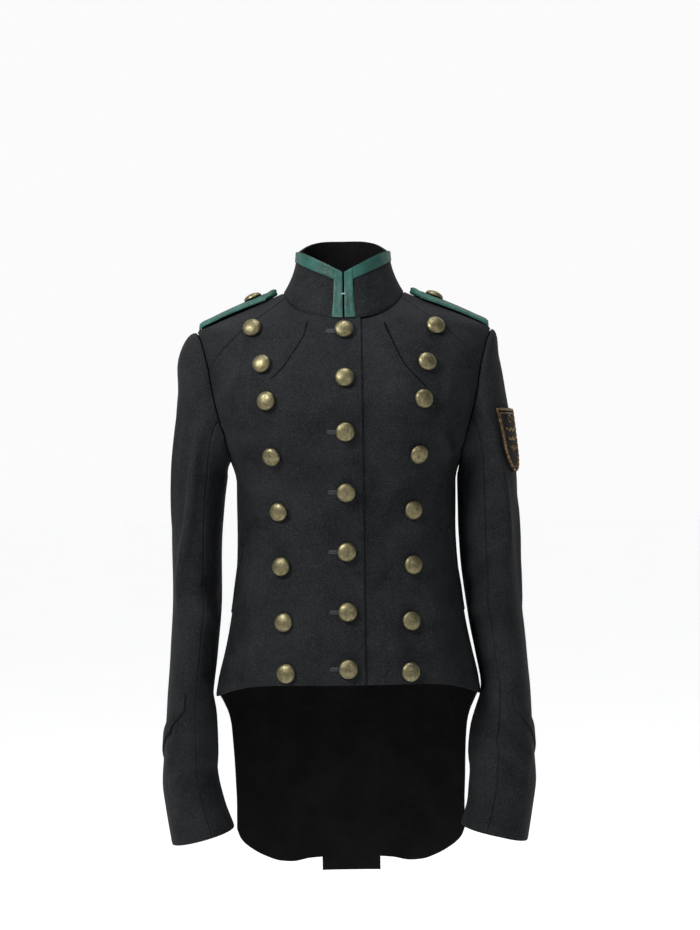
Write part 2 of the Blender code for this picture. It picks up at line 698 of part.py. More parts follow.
def collar_point(turn, height):
    """Collar surface: from the neckline, curving in and up to its top edge; height runs 0 to 1."""
    turn, height = np.broadcast_arrays(np.asarray(turn, float), np.asarray(height, float))
    x, y = neck_plan(turn)
    base_z = form_top(x, y) + SEAM_GAP / 2
    angle = np.radians(turn)
    power = 2 / NECK_POWER
    top_x = COLLAR_TOP_HALF_WIDTH * np.sign(np.sin(angle)) * np.abs(np.sin(angle)) ** power
    top_y = COLLAR_TOP_CENTRE_Y - COLLAR_TOP_DEPTH * np.sign(np.cos(angle)) * np.abs(np.cos(angle)) ** power
    top_x = np.where(np.abs(np.sin(angle)) < 0.03, x, top_x)
    share = np.abs(top_x) / COLLAR_TOP_HALF_WIDTH
    front_z = COLLAR_TOP_FRONT + (COLLAR_TOP_SIDE - COLLAR_TOP_FRONT) * share
    back_z = COLLAR_TOP_BACK - (COLLAR_TOP_BACK - COLLAR_TOP_SIDE) * share**4
    top_z = np.where(np.cos(angle) > 0, front_z, back_z)
    lean = 1 - np.maximum(1 - height, 0) ** 1.9
    return np.stack([x + (top_x - x) * lean, y + (top_y - y) * lean, base_z + (top_z - base_z) * height], axis=-1)


def collar_normal(turn, height):
    """Outward normal of the collar from small differences."""
    across = collar_point(turn + 0.5, height) - collar_point(turn - 0.5, height)
    up = collar_point(turn, height + 0.01) - collar_point(turn, height - 0.01)
    normal = np.cross(across, up)
    return normal / np.linalg.norm(normal, axis=-1, keepdims=True)


def collar_strip(turns, heights, rise):
    turn, height = np.meshgrid(turns, heights)
    return collar_point(turn, height) + collar_normal(turn, height) * rise


def collar_height_share(width):
    return width / (COLLAR_TOP_FRONT + 42.5)


def make_collar():
    """Stand collar with a satin ribbon along its top edge and down both front edges."""
    turns = collar_turns()
    heights = np.linspace(0, 1, 5)
    add_wall("collar", collar_strip(turns, heights, 0), collar_strip(turns, heights, -COLLAR_WALL), WOOL)
    ribbon_low = 1 - collar_height_share(COLLAR_RIBBON)
    edge_turn = neck_turn(COLLAR_OPENING + COLLAR_RIBBON)
    long_turns = turns.copy()
    long_turns[0] = edge_turn + 0.3
    long_turns[-1] = 360 - long_turns[0]
    band = np.array([ribbon_low, 1.0])
    add_wall(
        "collar_ribbon_top", collar_strip(long_turns, band, LIFT + RIBBON_THICKNESS),
        collar_strip(long_turns, band, LIFT), RIBBON,
    )
    for name, side in (("right", -1), ("left", 1)):
        strip_turns = np.array([turns[0], edge_turn])
        outer = collar_strip(strip_turns, heights, LIFT + RIBBON_THICKNESS)
        inner = collar_strip(strip_turns, heights, LIFT)
        add_wall("collar_ribbon_" + name, mirror(outer, side), mirror(inner, side), RIBBON)


def make_hook():
    """Small steel bar of the collar's hook, across the opening."""
    middle = collar_point(neck_turn(COLLAR_OPENING), HOOK_HEIGHT)
    sides = HOOK_SIDES
    turn = np.linspace(0, 2 * np.pi, sides, endpoint=False)
    ring = np.stack([0 * turn, -np.cos(turn), np.sin(turn)], axis=-1) * HOOK_RADIUS
    centre = middle * [0, 1, 1] - [0, LIFT + RIBBON_THICKNESS + LIFT + HOOK_RADIUS, 0]
    half = np.array([HOOK_LENGTH / 2, 0, 0])
    points = np.concatenate([centre + ring - half, centre + ring + half])
    faces = [[k, (k + 1) % sides, sides + (k + 1) % sides, sides + k] for k in range(sides)]
    faces += [list(range(sides)), list(range(sides, 2 * sides))[::-1]]
    add_solid("collar_hook", points, faces, STEEL)


def epaulette_half_width(x):
    """Half width of the strap in plan: a pointed inner end, then a slow widening to the armhole."""
    body = EPAULETTE_HALF_INNER + (EPAULETTE_HALF_OUTER - EPAULETTE_HALF_INNER) * (
        (x - EPAULETTE_SHOULDER) / (EPAULETTE_END - EPAULETTE_SHOULDER)
    )
    point = EPAULETTE_HALF_INNER * (0.12 + 0.88 * (x - EPAULETTE_TIP) / (EPAULETTE_SHOULDER - EPAULETTE_TIP))
    return np.where(x < EPAULETTE_SHOULDER, point, body)


def strap_surface(x, share, rise):
    """Top of the shoulder under the strap, lifted by rise; share runs -1 to 1 across."""
    y = share * epaulette_half_width(x)
    z = form_top(x, y)
    arch = 1.6 * np.sin(np.pi * np.clip((x - EPAULETTE_TIP) / (EPAULETTE_END - EPAULETTE_TIP), 0, 1))
    return np.stack([x, y, z + rise + arch], axis=-1)


def make_epaulettes():
    near_tip = [EPAULETTE_TIP, EPAULETTE_TIP + EPAULETTE_RIBBON]
    xs = np.concatenate([near_tip, np.linspace(EPAULETTE_SHOULDER, EPAULETTE_END, 7)])
    shares = np.linspace(-1, 1, 7)
    x, share = np.meshgrid(xs, shares)
    bottom = EPAULETTE_LIFT
    under = strap_surface(x, share, bottom)
    top = strap_surface(x, share, bottom + EPAULETTE_THICKNESS)
    inner_x = np.concatenate([[near_tip[1], near_tip[1] + 3], np.linspace(EPAULETTE_SHOULDER + 2, EPAULETTE_END, 7)])
    outer_line = np.stack([x[0] * 1.0, -epaulette_half_width(xs)], axis=-1)
    inner_half = np.maximum(epaulette_half_width(inner_x) - EPAULETTE_RIBBON, 1.0)
    inner_half[0] = 1.0
    inner_line = np.stack([inner_x, -inner_half], axis=-1)
    outer_line = np.concatenate([outer_line[::-1], outer_line * [1, -1]])
    inner_line = np.concatenate([inner_line[::-1], inner_line * [1, -1]])
    plan = np.stack([outer_line, inner_line])
    share_plan = plan[..., 1] / epaulette_half_width(plan[..., 0])
    low = bottom + EPAULETTE_THICKNESS + LIFT + EPAULETTE_RIBBON_SLACK
    band_under = strap_surface(plan[..., 0], share_plan, low)
    band_top = strap_surface(plan[..., 0], share_plan, low + RIBBON_THICKNESS)
    for name, side in (("right", -1), ("left", 1)):
        add_wall("epaulette_" + name, mirror(top, side), mirror(under, side), WOOL)
        add_wall("epaulette_ribbon_" + name, mirror(band_top, side), mirror(band_under, side), RIBBON)


def make_pocket_welts():
    """Slanted welts at the sides, near the waist, on the fronts."""
    share = np.linspace(0, 1, 9)
    angle = POCKET_START[0] + (POCKET_END[0] - POCKET_START[0]) * share
    z = POCKET_START[1] + (POCKET_END[1] - POCKET_START[1]) * share
    line = form_point(angle, z)
    ahead = np.gradient(line, axis=0)
    ahead = ahead / np.linalg.norm(ahead, axis=-1, keepdims=True)
    angle_step = 0.5
    round_it = form_point(angle + angle_step, z) - line
    wide = angle_step * POCKET_WIDTH / np.linalg.norm(round_it, axis=-1)
    rows = np.stack([angle + wide * k for k in (0, 0.5, 1)])
    height = np.stack([z + 0 * k for k in (0, 0.5, 1)])
    base = form_point(rows, height)
    normal = form_normal(base)
    for name, side in (("right", -1), ("left", 1)):
        outer = mirror(base + normal * (LIFT + 0.35 + WELT_THICKNESS), side)
        inner = mirror(base + normal * (LIFT + 0.35), side)
        add_wall("pocket_welt_" + name, outer, inner, WOOL)


def make_forearm_welts():
    """Slanted welts round the outside of each forearm, lower towards the back."""
    share = np.linspace(0, 1, 10)
    turn = FOREARM_START[0] + (FOREARM_END[0] - FOREARM_START[0]) * share
    z = FOREARM_START[1] + (FOREARM_END[1] - FOREARM_START[1]) * share
    turns = np.stack([turn, turn, turn])
    heights = np.stack([z, z - FOREARM_WIDTH / 2, z - FOREARM_WIDTH])
    low = LIFT + 0.6
    for name, side in (("right", -1), ("left", 1)):
        outer = sleeve_strip(turns, heights, low + WELT_THICKNESS)
        inner = sleeve_strip(turns, heights, low)
        add_wall("forearm_welt_" + name, mirror(outer, side), mirror(inner, side), WOOL)


def shield_half_width(share):
    """Half width of a plain heater shield at a share 0 to 1 from its foot to its straight top."""
    return np.sin(np.pi / 2 * np.clip(share * 1.35, 0, 1)) ** 0.62


SLEEVE_GRID = sleeve_grid()


def sleeve_outer(turn, z):
    """Point on the whole sleeve, its cap included, at a turn and a height, read from its columns."""
    turns = sleeve_turns(armhole_loop())
    order = np.argsort(np.where(turns > 1, turns - 1, turns))
    wrapped = np.where(turns > 1, turns - 1, turns)[order]
    grid = SLEEVE_GRID[:, order]
    place = np.interp(turn, wrapped, np.arange(len(wrapped)))
    low = np.clip(np.floor(place).astype(int), 0, len(wrapped) - 2)
    part = (place - low)[..., None]
    lines = grid[:, low] * (1 - part) + grid[:, low + 1] * part
    result = np.zeros(np.shape(z) + (3,))
    for where in np.ndindex(np.shape(z)):
        line = lines[(slice(None), *where)]
        order_up = np.argsort(line[:, 2])
        for axis in range(3):
            result[(*where, axis)] = np.interp(z[where], line[order_up, 2], line[order_up, axis])
    return result


def patch_points(rows, cols, inset, rise):
    """Grid of points of the shield on the sleeve, drawn in by inset and moved out by rise."""
    share = np.linspace(0.03, 1, rows)[:, None]
    across = np.linspace(-1, 1, cols)[None, :]
    height = PATCH_HALF_HEIGHT - inset
    half = (PATCH_HALF_WIDTH - inset) * shield_half_width(share)
    z = PATCH_HEIGHT - height + 2 * height * share + 0 * across
    ring = 4.2
    turn = PATCH_TURN + half * across / (ring * 80)
    small = 0.006
    point = sleeve_outer(turn, z)
    round_it = sleeve_outer(turn + small, z) - sleeve_outer(turn - small, z)
    up = sleeve_outer(turn, z + 2) - sleeve_outer(turn, z - 2)
    normal = np.cross(round_it, up)
    normal = normal / np.linalg.norm(normal, axis=-1, keepdims=True)
    return point + normal * rise


def make_patch():
    """Plain heater shield on the left sleeve, with a raised border of bullion cord."""
    rows, cols = 9, 7
    low = LIFT + 0.9
    outer = patch_points(rows, cols, 0, low + PATCH_THICKNESS)
    add_wall("patch", outer, patch_points(rows, cols, 0, low), WOOL)
    border_low = low + PATCH_THICKNESS + LIFT
    outside = patch_points(rows, cols, 1.0, border_low)
    inside = patch_points(rows, cols, 1.0 + PATCH_BORDER, border_low)
    outside_top = patch_points(rows, cols, 1.0, border_low + 1.4)
    inside_top = patch_points(rows, cols, 1.0 + PATCH_BORDER, border_low + 1.4)

    def outline(grid):
        return np.concatenate([grid[0, :-1], grid[:-1, -1], grid[-1, :0:-1], grid[:0:-1, 0]])

    rings = [outline(g) for g in (outside, outside_top, inside_top, inside)]
    count = len(rings[0])
    faces = []
    for k in range(4):
        for j in range(count):
            a, b = k * count + j, k * count + (j + 1) % count
            c, d = (k + 1) % 4 * count + (j + 1) % count, (k + 1) % 4 * count + j
            faces.append([a, b, c, d])
    add_solid("patch_border", np.concatenate(rings), faces, BULLION)


# Profile of a button: radius and height above the cloth
BUTTON_PROFILE = [(2.6, 0.0), (2.6, 2.1), (10.6, 2.6), (11.4, 4.1), (8.0, 7.4)]
BUTTON_TOP = 9.1


def add_button(name, base, normal):
    """A domed button on its shank, turned round the cloth's normal at its seat."""
    normal = normal / np.linalg.norm(normal)
    side = np.cross(normal, [0.0, 0.0, 1.0])
    side = side / np.linalg.norm(side)
    up = np.cross(side, normal)
    turn = np.linspace(0, 2 * np.pi, BUTTON_SIDES, endpoint=False)
    ring = np.cos(turn)[:, None] * side + np.sin(turn)[:, None] * up
    points = [base + normal * BUTTON_SEAT]
    for radius, height in BUTTON_PROFILE:
        points.extend(base + normal * (BUTTON_SEAT + height) + ring * radius)
    points.append(base + normal * (BUTTON_SEAT + BUTTON_TOP))
    n = BUTTON_SIDES
    faces = [[0, 1 + (k + 1) % n, 1 + k] for k in range(n)]
    for level in range(len(BUTTON_PROFILE) - 1):
        a = 1 + level * n
        faces += [[a + k, a + (k + 1) % n, a + n + (k + 1) % n, a + n + k] for k in range(n)]
    last = 1 + (len(BUTTON_PROFILE) - 1) * n
    faces += [[last + k, last + (k + 1) % n, len(points) - 1] for k in range(n)]
    add_solid(name, np.array(points), faces, BRASS)


def front_seat(x, z):
    """Seat of a button on the front cloth: the point and the normal there."""
    point = form_point(angle_at(x, z), z)
    return point, form_normal(point)


def make_buttons():
    for row, z in enumerate(CENTRE_BUTTONS, start=1):
        point, normal = front_seat(0.001, z)
        lift = TOP_BUTTON_LIFT if row == 1 else CENTRE_BUTTON_LIFT
        add_button(f"button_centre_{row}", point + normal * lift, normal)
    for name, side in (("right", -1), ("left", 1)):
        for row, (x, z) in enumerate(SIDE_BUTTONS, start=1):
            point, normal = front_seat(x, z)
            add_button(f"button_{name}_{row}", mirror(point, side), mirror(normal, side))
        x = EPAULETTE_BUTTON_X
        top = strap_surface(np.array([x - 1.0, x, x + 1.0]), np.zeros(3), EPAULETTE_LIFT + EPAULETTE_THICKNESS + 0.2)
        slope = top[2] - top[0]
        normal = np.array([-slope[2], 0.0, slope[0]])
        add_button("button_epaulette_" + name, mirror(top[1], side), mirror(normal, side))


def main():
    for old in list(bpy.data.objects):
        bpy.data.objects.remove(old, do_unlink=True)
    make_fronts()
    make_yokes()
    make_back()
    make_sleeves()
    make_collar()
    make_hook()
    make_epaulettes()
    make_pocket_welts()
    make_forearm_welts()
    make_patch()
    make_buttons()


main()
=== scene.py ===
import math

import bmesh
import bpy
import numpy as np
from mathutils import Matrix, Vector


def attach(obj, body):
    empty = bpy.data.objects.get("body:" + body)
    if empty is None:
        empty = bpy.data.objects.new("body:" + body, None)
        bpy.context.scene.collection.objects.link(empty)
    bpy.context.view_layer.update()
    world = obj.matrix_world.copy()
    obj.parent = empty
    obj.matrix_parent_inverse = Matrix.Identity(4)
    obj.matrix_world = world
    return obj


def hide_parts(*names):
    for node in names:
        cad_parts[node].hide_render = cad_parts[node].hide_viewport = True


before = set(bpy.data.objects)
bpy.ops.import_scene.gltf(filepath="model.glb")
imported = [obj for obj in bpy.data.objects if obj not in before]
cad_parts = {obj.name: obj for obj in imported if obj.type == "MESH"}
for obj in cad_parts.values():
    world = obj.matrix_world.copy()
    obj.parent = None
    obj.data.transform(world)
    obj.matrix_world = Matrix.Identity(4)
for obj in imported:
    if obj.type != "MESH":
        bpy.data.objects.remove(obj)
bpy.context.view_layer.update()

MM = 0.001

# Camera and studio, from the photograph's framing
PHOTO_WIDTH = 700
PHOTO_HEIGHT = 930
CAMERA_DISTANCE = 2300.0
CAMERA_HEIGHT = -219.5
CAMERA_SIDE = 5.1
CAMERA_LENS = 71.8
CAMERA_ROLL = 0.785
FLOOR_HEIGHT = -1150.0

# Cloth and seams
CLOTH = 2.0
SEAM_GAP = 0.3
LIFT = 0.3
SEAM_SINK = 1.0
SEAM_WIDTH = 1.9
EDGE_SINK = 0.5
FINE = 4
EDGE_LINES = (0.22, 0.55)

# The garment's own sizes
HEM_FRONT = -479.0
HEM_SIDE = -502.0
HEM_POWER = 5.0
FRONT_LAP = 20.0
LAP_GAP = 1.2
LAP_EASE_START = 10.0
LAP_EASE = 36.0
NECK_HALF_WIDTH = 74.5
NECK_FRONT = 75.0
NECK_BACK = 62.0
NECK_POWER = 2.2
NECK_YOKE_X = 71.0
YOKE_ARMHOLE_HEIGHT = -103.0
SHOULDER_SEAM_Y = 9.0
ARMHOLE_CENTRE = -133.0
ARMHOLE_HALF_HEIGHT = 79.0
ARMHOLE_HALF_ANGLE = 27.0
ARMHOLE_POWER = 3.0
SHOULDER_SEAM_ANGLE = 4.2
SIDE_SEAM_ANGLE = 97.0
PRINCESS_ARMHOLE_HEIGHT = -130.0
TAIL_END = -749.0
TAIL_PANEL_HALF = 38.0
CHEST_ROW_HEIGHT = -206.0
BACK_ROW_HEIGHT = -150.0
SECTION_POWER = 2.4
BUST_FULLNESS = 5.0
BUST_X = 76.0
BUST_Z = -158.0
BUST_SPREAD = 46.0

# Cells along each stretch of a panel, before they are made finer
HEM_TO_UNDERARM = 9 * FINE
ARMHOLE_FRONT = 8 * FINE
ARMHOLE_YOKE = 5 * FINE
ARMHOLE_BACK = 4 * FINE
ARMHOLE_SIDE_BACK = 8 * FINE
NECK_FRONT_CELLS = 4 * FINE
NECK_BACK_CELLS = 3 * FINE
YOKE_CELLS = 8 * FINE
TAIL_CELLS = 7 * FINE
UNDERARM_CELLS = 3 * FINE
UNDER_SLEEVE_START = 11 * FINE
UNDER_SLEEVE_END = 22 * FINE
BACK_FADE = 8
SIDE_BACK_FADE = 2
GIRTH_STEPS = 41
ANGLE_HALVINGS = 17

# Trims, finer than the solids
TABLE_HEIGHTS = 500
SLEEVE_GIRTH = 336.0
BUTTON_COLUMNS = 56
BUTTON_SEAT = 0.3
TOP_BUTTON_LIFT = 0.5
CENTRE_BUTTON_LIFT = 0.2
BUTTON_TOP = 9.1
BUTTON_RIM_HEIGHT = 4.3
BUTTON_DOME = 11.2
EPAULETTE_CROWN = 5.0
EPAULETTE_WRAP = -2.8
EPAULETTE_BUTTON_DROP = 3.4
WELT_ROOT = -0.8
COLLAR_ROOT = 0.03
NECK_FADE = 0.8
POCKET_RISE = 1.3
FOLD_STRENGTH = 2.0

# Back and rim of a button: radius, height above the cloth and depth of its roping
BUTTON_RIM = [
    (2.6, 0.0, 0.0), (2.6, 2.1, 0.0), (10.2, 2.5, 0.0), (10.9, 2.8, 0.0), (11.3, 3.3, 0.0), (11.4, 3.7, 0.0),
    (11.35, 4.1, 0.0),
]
BUTTONHOLE_ROWS = (1, 3, 4, 5, 6, 7)
HOLE_MIDDLE = 15.0
HOLE_HALF_LENGTH = 7.0
HOLE_HALF_HEIGHT = 2.2

# Neck darts: distance from the mid-plane and height
DART_RIGHT = [(43.8, -46.3), (47.1, -60.6), (58.6, -80.3), (74.2, -103.0), (87.4, -116.3)]
DART_LEFT = [(48.6, -48.7), (59.5, -74.0), (71.3, -98.5), (83.1, -112.8), (96.3, -128.2)]

# The coat hangs turned a little, so the sleeves differ, 1 is the wearer's left. In each row: height, then
# how far the sleeve's inner side and its outer side lie nearer the body than on the even form
SLEEVE_HANG = {
    1: [
        (0, 0.0, 0.0),
        (-40, 0.0, 3.0),
        (-89, 0.0, 9.0),
        (-126, 0.0, 8.5),
        (-164, 0.0, 6.0),
        (-201, 2.0, 4.5),
        (-238, 10.0, 3.0),
        (-269, 14.0, 3.5),
        (-300, 16.0, 5.0),
        (-331, 15.0, 5.5),
        (-362, 12.5, 3.5),
        (-393, 9.5, 1.0),
        (-424, 7.5, 0.0),
        (-455, 5.0, 0.0),
        (-486, 4.0, 0.0),
        (-517, 9.0, 0.5),
        (-548, 14.5, 1.5),
        (-579, 16.0, 1.5),
        (-610, 14.0, 1.5),
        (-641, 9.0, 2.0),
        (-680, 7.0, 2.5),
        (-720, 7.0, 2.5),
    ],
    -1: [
        (0, 0.0, 0.0),
        (-40, 0.0, -3.0),
        (-60, 0.0, -6.0),
        (-89, 0.0, -5.5),
        (-110, 0.0, -2.5),
        (-126, 0.0, 0.0),
        (-720, 0.0, 0.0),
    ],
}
HANG_START = 3.0

# Soft lamps: name, place, side of the square, power in watts
LAMPS = [
    ("key_lamp", (-1050, -1150, 850), 450.0, 40.0),
    ("fill_lamp", (900, -2200, 500), 900.0, 9.0),
    ("top_lamp", (0, -200, 1500), 600.0, 18.0),
]
LAMP_AIM = (0, 0, -250)
WORLD_STRENGTH = 1.0
FLOOR_HALF = 30000.0
FLOOR_GLOW = 0.5
ROOM_SHADE = "6a6c70"

# Horizontal sections of the body: height, half width, depth in front and depth behind the mid-plane
SECTION = [
    (-760, 172.0, 121.0, 131.0),
    (-700, 171.0, 121.0, 130.0),
    (-620, 169.5, 121.0, 127.0),
    (-560, 168.0, 121.0, 124.0),
    (-505, 164.0, 120.5, 120.0),
    (-480, 160.0, 118.0, 117.0),
    (-450, 153.0, 115.0, 113.0),
    (-420, 147.0, 111.0, 109.0),
    (-375, 140.0, 106.0, 103.0),
    (-330, 136.0, 102.0, 98.0),
    (-285, 134.5, 103.0, 98.0),
    (-240, 135.0, 109.0, 103.0),
    (-212, 143.0, 114.0, 107.0),
    (-190, 156.0, 117.0, 110.5),
    (-150, 171.0, 118.0, 115.0),
    (-130, 176.0, 114.0, 115.0),
    (-103, 180.5, 105.0, 112.0),
    (-75, 184.0, 92.0, 106.0),
    (-62, 184.0, 85.0, 102.0),
    (-53, 181.0, 80.0, 98.0),
    (-42.5, 159.5, 75.0, 93.0),
    (-30, 130.5, 57.0, 88.0),
    (-17, 100.5, 40.0, 82.0),
    (-5.8, 74.5, 30.0, 77.0),
    (0, 61.0, 26.0, 74.0),
    (12, 33.0, 20.0, 62.0),
    (22, 12.0, 12.0, 40.0),
]

# Front yoke seam: distance from the mid-plane and height
YOKE_SEAM = [(71, -17), (95, -36), (113, -50), (131, -65.5), (150, -84), (166, -106)]

# Seam between centre back and side back: height and distance from the mid-plane
PRINCESS_SEAM = [
    (-760, 38.0), (-700, 38.0), (-505, 36.0), (-330, 33.0), (-240, 44.0), (-190, 70.0), (-150, 116.0), (-130, 158.0),
]

# Front edge of the tail below the hem: height and distance from the mid-plane
TAIL_EDGE = [
    (-684, 147.0), (-650, 146.5), (-621, 147.5), (-578, 149.0), (-550, 150.5), (-533, 153.5), (-518, 158.5), (-502, 163.6),
]

# Lower edge of a tail lobe: distance from the mid-plane and height
LOBE_EDGE = [(38, -731.5), (55, -732.5), (75, -735.5), (92, -733.5), (112, -725), (130, -712), (142, -698), (147, -684)]

# Sleeve rings below the armhole: height, centre x, half width, centre y, half depth, drop of the outer side
SLEEVE_RING = [
    (-226, 180.0, 33.0, 0.0, 61.0, -12.0),
    (-262, 183.0, 31.5, 1.0, 60.5, -6.0),
    (-313, 185.5, 30.8, 3.0, 59.5, 0.0),
    (-385, 186.5, 30.0, 5.0, 58.0, 0.0),
    (-450, 191.5, 29.0, 3.0, 56.0, 0.0),
    (-510, 197.0, 28.0, -1.0, 54.0, 2.0),
    (-560, 198.0, 30.5, -5.0, 51.0, 4.0),
    (-600, 197.0, 34.0, -9.0, 49.0, 7.0),
    (-635, 191.0, 35.5, -13.0, 46.5, 11.0),
    (-672, 181.5, 38.5, -17.0, 44.0, 19.0),
]
SLEEVE_POWER = 2.15
CAP_ROWS = 5 * FINE
TUBE_ROWS = 13 * FINE

# Buttons: distance from the mid-plane and height, down the centre and down a side column
CENTRE_BUTTONS = [-59.0, -117.0, -180.5, -251.5, -322.5, -393.5, -460.0]
SIDE_BUTTONS = [
    (109.5, -54.5), (97.5, -99.0), (92.0, -143.0), (85.5, -207.0), (79.0, -274.0), (77.5, -339.5), (75.5, -405.5),
    (73.0, -465.0),
]
EPAULETTE_BUTTON_X = 111.0

# Epaulettes
EPAULETTE_TIP = 83.0
EPAULETTE_SHOULDER = 96.0
EPAULETTE_END = 177.5
EPAULETTE_HALF_INNER = 20.0
EPAULETTE_HALF_OUTER = 25.0
EPAULETTE_THICKNESS = 3.0
EPAULETTE_RIBBON = 7.0
EPAULETTE_LIFT = 1.2
EPAULETTE_RIBBON_SLACK = 0.35
RIBBON_THICKNESS = 0.6
# Collar
COLLAR_WALL = 2.5
COLLAR_TOP_FRONT = 13.0
COLLAR_TOP_SIDE = 44.0
COLLAR_TOP_BACK = 64.0
COLLAR_TOP_HALF_WIDTH = 57.5
COLLAR_TOP_DEPTH = 59.0
COLLAR_TOP_CENTRE_Y = -3.0
COLLAR_RIBBON = 13.0
COLLAR_OPENING = 1.2
HOOK_HEIGHT = 0.52
HOOK_LENGTH = 4.6
HOOK_RADIUS = 0.8
HOOK_SIDES = 8

# Slanted welts: angle round the body or sleeve and height, at the start and the end
POCKET_START = (60.5, -296.0)
POCKET_END = (86.0, -400.0)
POCKET_WIDTH = 12.0
FOREARM_START = (0.005, -494.0)
FOREARM_END = (0.36, -580.0)
FOREARM_WIDTH = 19.0
WELT_THICKNESS = 1.8

# Shield patch on the wearer's left sleeve: turn round the sleeve from the front, and height
PATCH_TURN = 0.135
PATCH_HEIGHT = -192.0
PATCH_HALF_HEIGHT = 39.5
PATCH_HALF_WIDTH = 29.0
PATCH_THICKNESS = 1.6
PATCH_BORDER = 3.2


def smooth(keys, values, at):
    """Monotone cubic through a table: slopes are harmonic means, so no row is overshot."""
    keys = np.asarray(keys, float)
    values = np.asarray(values, float)
    order = np.argsort(keys)
    keys = keys[order]
    values = values[order]
    step = np.diff(keys)
    rise = np.diff(values) / step
    slope = np.zeros_like(values)
    same = rise[1:] * rise[:-1] > 0
    total = np.where(same, rise[1:] + rise[:-1], 1.0)
    slope[1:-1] = np.where(same, 2 * rise[1:] * rise[:-1] / total, 0.0)
    slope[0] = rise[0]
    slope[-1] = rise[-1]
    at = np.clip(np.asarray(at, float), keys[0], keys[-1])
    cell = np.clip(np.searchsorted(keys, at, side="right") - 1, 0, len(step) - 1)
    width = step[cell]
    t = (at - keys[cell]) / width
    return (
        (2 * t**3 - 3 * t**2 + 1) * values[cell]
        + (t**3 - 2 * t**2 + t) * width * slope[cell]
        + (3 * t**2 - 2 * t**3) * values[cell + 1]
        + (t**3 - t**2) * width * slope[cell + 1]
    )


def column(table, index):
    """One named column of a table as an array."""
    return np.array([row[index] for row in table], float)


def half_width(z):
    return smooth(column(SECTION, 0), column(SECTION, 1), z)


def front_depth(x, z):
    """Depth of the front at the mid-plane, with the rounded fullness of the bust on each side."""
    spread = ((np.abs(x) - BUST_X) ** 2 + (z - BUST_Z) ** 2) / BUST_SPREAD**2
    return smooth(column(SECTION, 0), column(SECTION, 2), z) + BUST_FULLNESS * np.exp(-spread)


def back_depth(z):
    return smooth(column(SECTION, 0), column(SECTION, 3), z)


def form_value(p):
    """One on the body form, less inside it: a rounded-square oval in each horizontal section."""
    x, y, z = p[..., 0], p[..., 1], p[..., 2]
    depth = np.where(y < 0, front_depth(x, z), back_depth(z))
    return np.abs(x / half_width(z)) ** SECTION_POWER + np.abs(y / depth) ** SECTION_POWER


def form_normal(p):
    """Outward unit normal of the body form, from small differences of its value."""
    small = 0.4
    parts = []
    for axis in range(3):
        step = np.zeros(3)
        step[axis] = small
        parts.append(form_value(p + step) - form_value(p - step))
    normal = np.stack(parts, axis=-1)
    return normal / np.linalg.norm(normal, axis=-1, keepdims=True)


def form_point(angle, z):
    """Point on the form at an angle in degrees round from the centre front, and a height."""
    angle, z = np.broadcast_arrays(np.asarray(angle, float), np.asarray(z, float))
    turn = np.radians(angle)
    power = 2 / SECTION_POWER
    x = half_width(z) * np.sign(np.sin(turn)) * np.abs(np.sin(turn)) ** power
    depth = np.where(np.cos(turn) > 0, front_depth(x, z), back_depth(z))
    y = -depth * np.sign(np.cos(turn)) * np.abs(np.cos(turn)) ** power
    return np.stack([x, y, z], axis=-1)


def angle_at(x, z, behind=False):
    """Angle of the form's point at a distance x from the mid-plane and a height z."""
    share = np.clip(np.abs(x) / half_width(z), 0, 1) ** (SECTION_POWER / 2)
    angle = np.degrees(np.arcsin(share)) * np.sign(x)
    return 180 - angle if behind else angle


def form_top(x, y):
    """Height of the form straight above a point in plan, by halving the interval."""
    low = np.full(np.broadcast(x, y).shape, -150.0)
    high = np.full_like(low, 21.9)
    for _ in range(40):
        middle = (low + high) / 2
        inside = form_value(np.stack(np.broadcast_arrays(x, y, middle), axis=-1)) < 1
        low = np.where(inside, middle, low)
        high = np.where(inside, high, middle)
    return (low + high) / 2


def plan_to_form(x, y):
    """Angle and height of the form's point above a point in plan."""
    z = form_top(x, y)
    depth = np.where(y < 0, front_depth(x, z), back_depth(z))
    across = np.abs(x / half_width(z)) ** (SECTION_POWER / 2) * np.sign(x)
    along = np.abs(y / depth) ** (SECTION_POWER / 2) * -np.sign(y)
    return np.stack([np.degrees(np.arctan2(across, along)), z], axis=-1)


def girth(angle, z, start):
    """Length round the section at a height, from a start angle to an angle."""
    share = np.linspace(0, 1, GIRTH_STEPS)
    turns = start + (angle - start)[..., None] * share
    points = form_point(turns, z[..., None] + 0 * turns)
    length = np.linalg.norm(np.diff(points, axis=-2), axis=-1).sum(axis=-1)
    return length * np.sign(angle - start)


def angle_for_girth(length, z, start):
    """Angle at which the girth from the start reaches a length, by halving the interval."""
    low = np.full(length.shape, start - 130.0)
    high = np.full(length.shape, start + 130.0)
    for _ in range(ANGLE_HALVINGS):
        middle = (low + high) / 2
        short = girth(middle, z, start) < length
        low = np.where(short, middle, low)
        high = np.where(short, high, middle)
    return (low + high) / 2


def settle(points):
    """Move points straight onto the body form, in a few steps along its normal."""
    small = 0.4
    for _ in range(12):
        depth = form_value(points) ** (1 / SECTION_POWER) - 1
        normal = form_normal(points)
        ahead = form_value(points + normal * small) ** (1 / SECTION_POWER) - 1
        slope = np.maximum((ahead - depth) / small, 1e-4)
        points = points - normal * np.clip(depth / slope, -12, 12)[..., None]
    return points


def even_samples(path, count, to_point=lambda path: form_point(path[:, 0], path[:, 1])):
    """Pick count + 1 rows of a dense path so that they lie evenly along it."""
    points = to_point(path)
    length = np.concatenate([[0], np.cumsum(np.linalg.norm(np.diff(points, axis=0), axis=1))])
    marks = np.linspace(0, length[-1], count + 1)
    return np.stack([np.interp(marks, length, path[:, k]) for k in range(path.shape[1])], axis=-1)


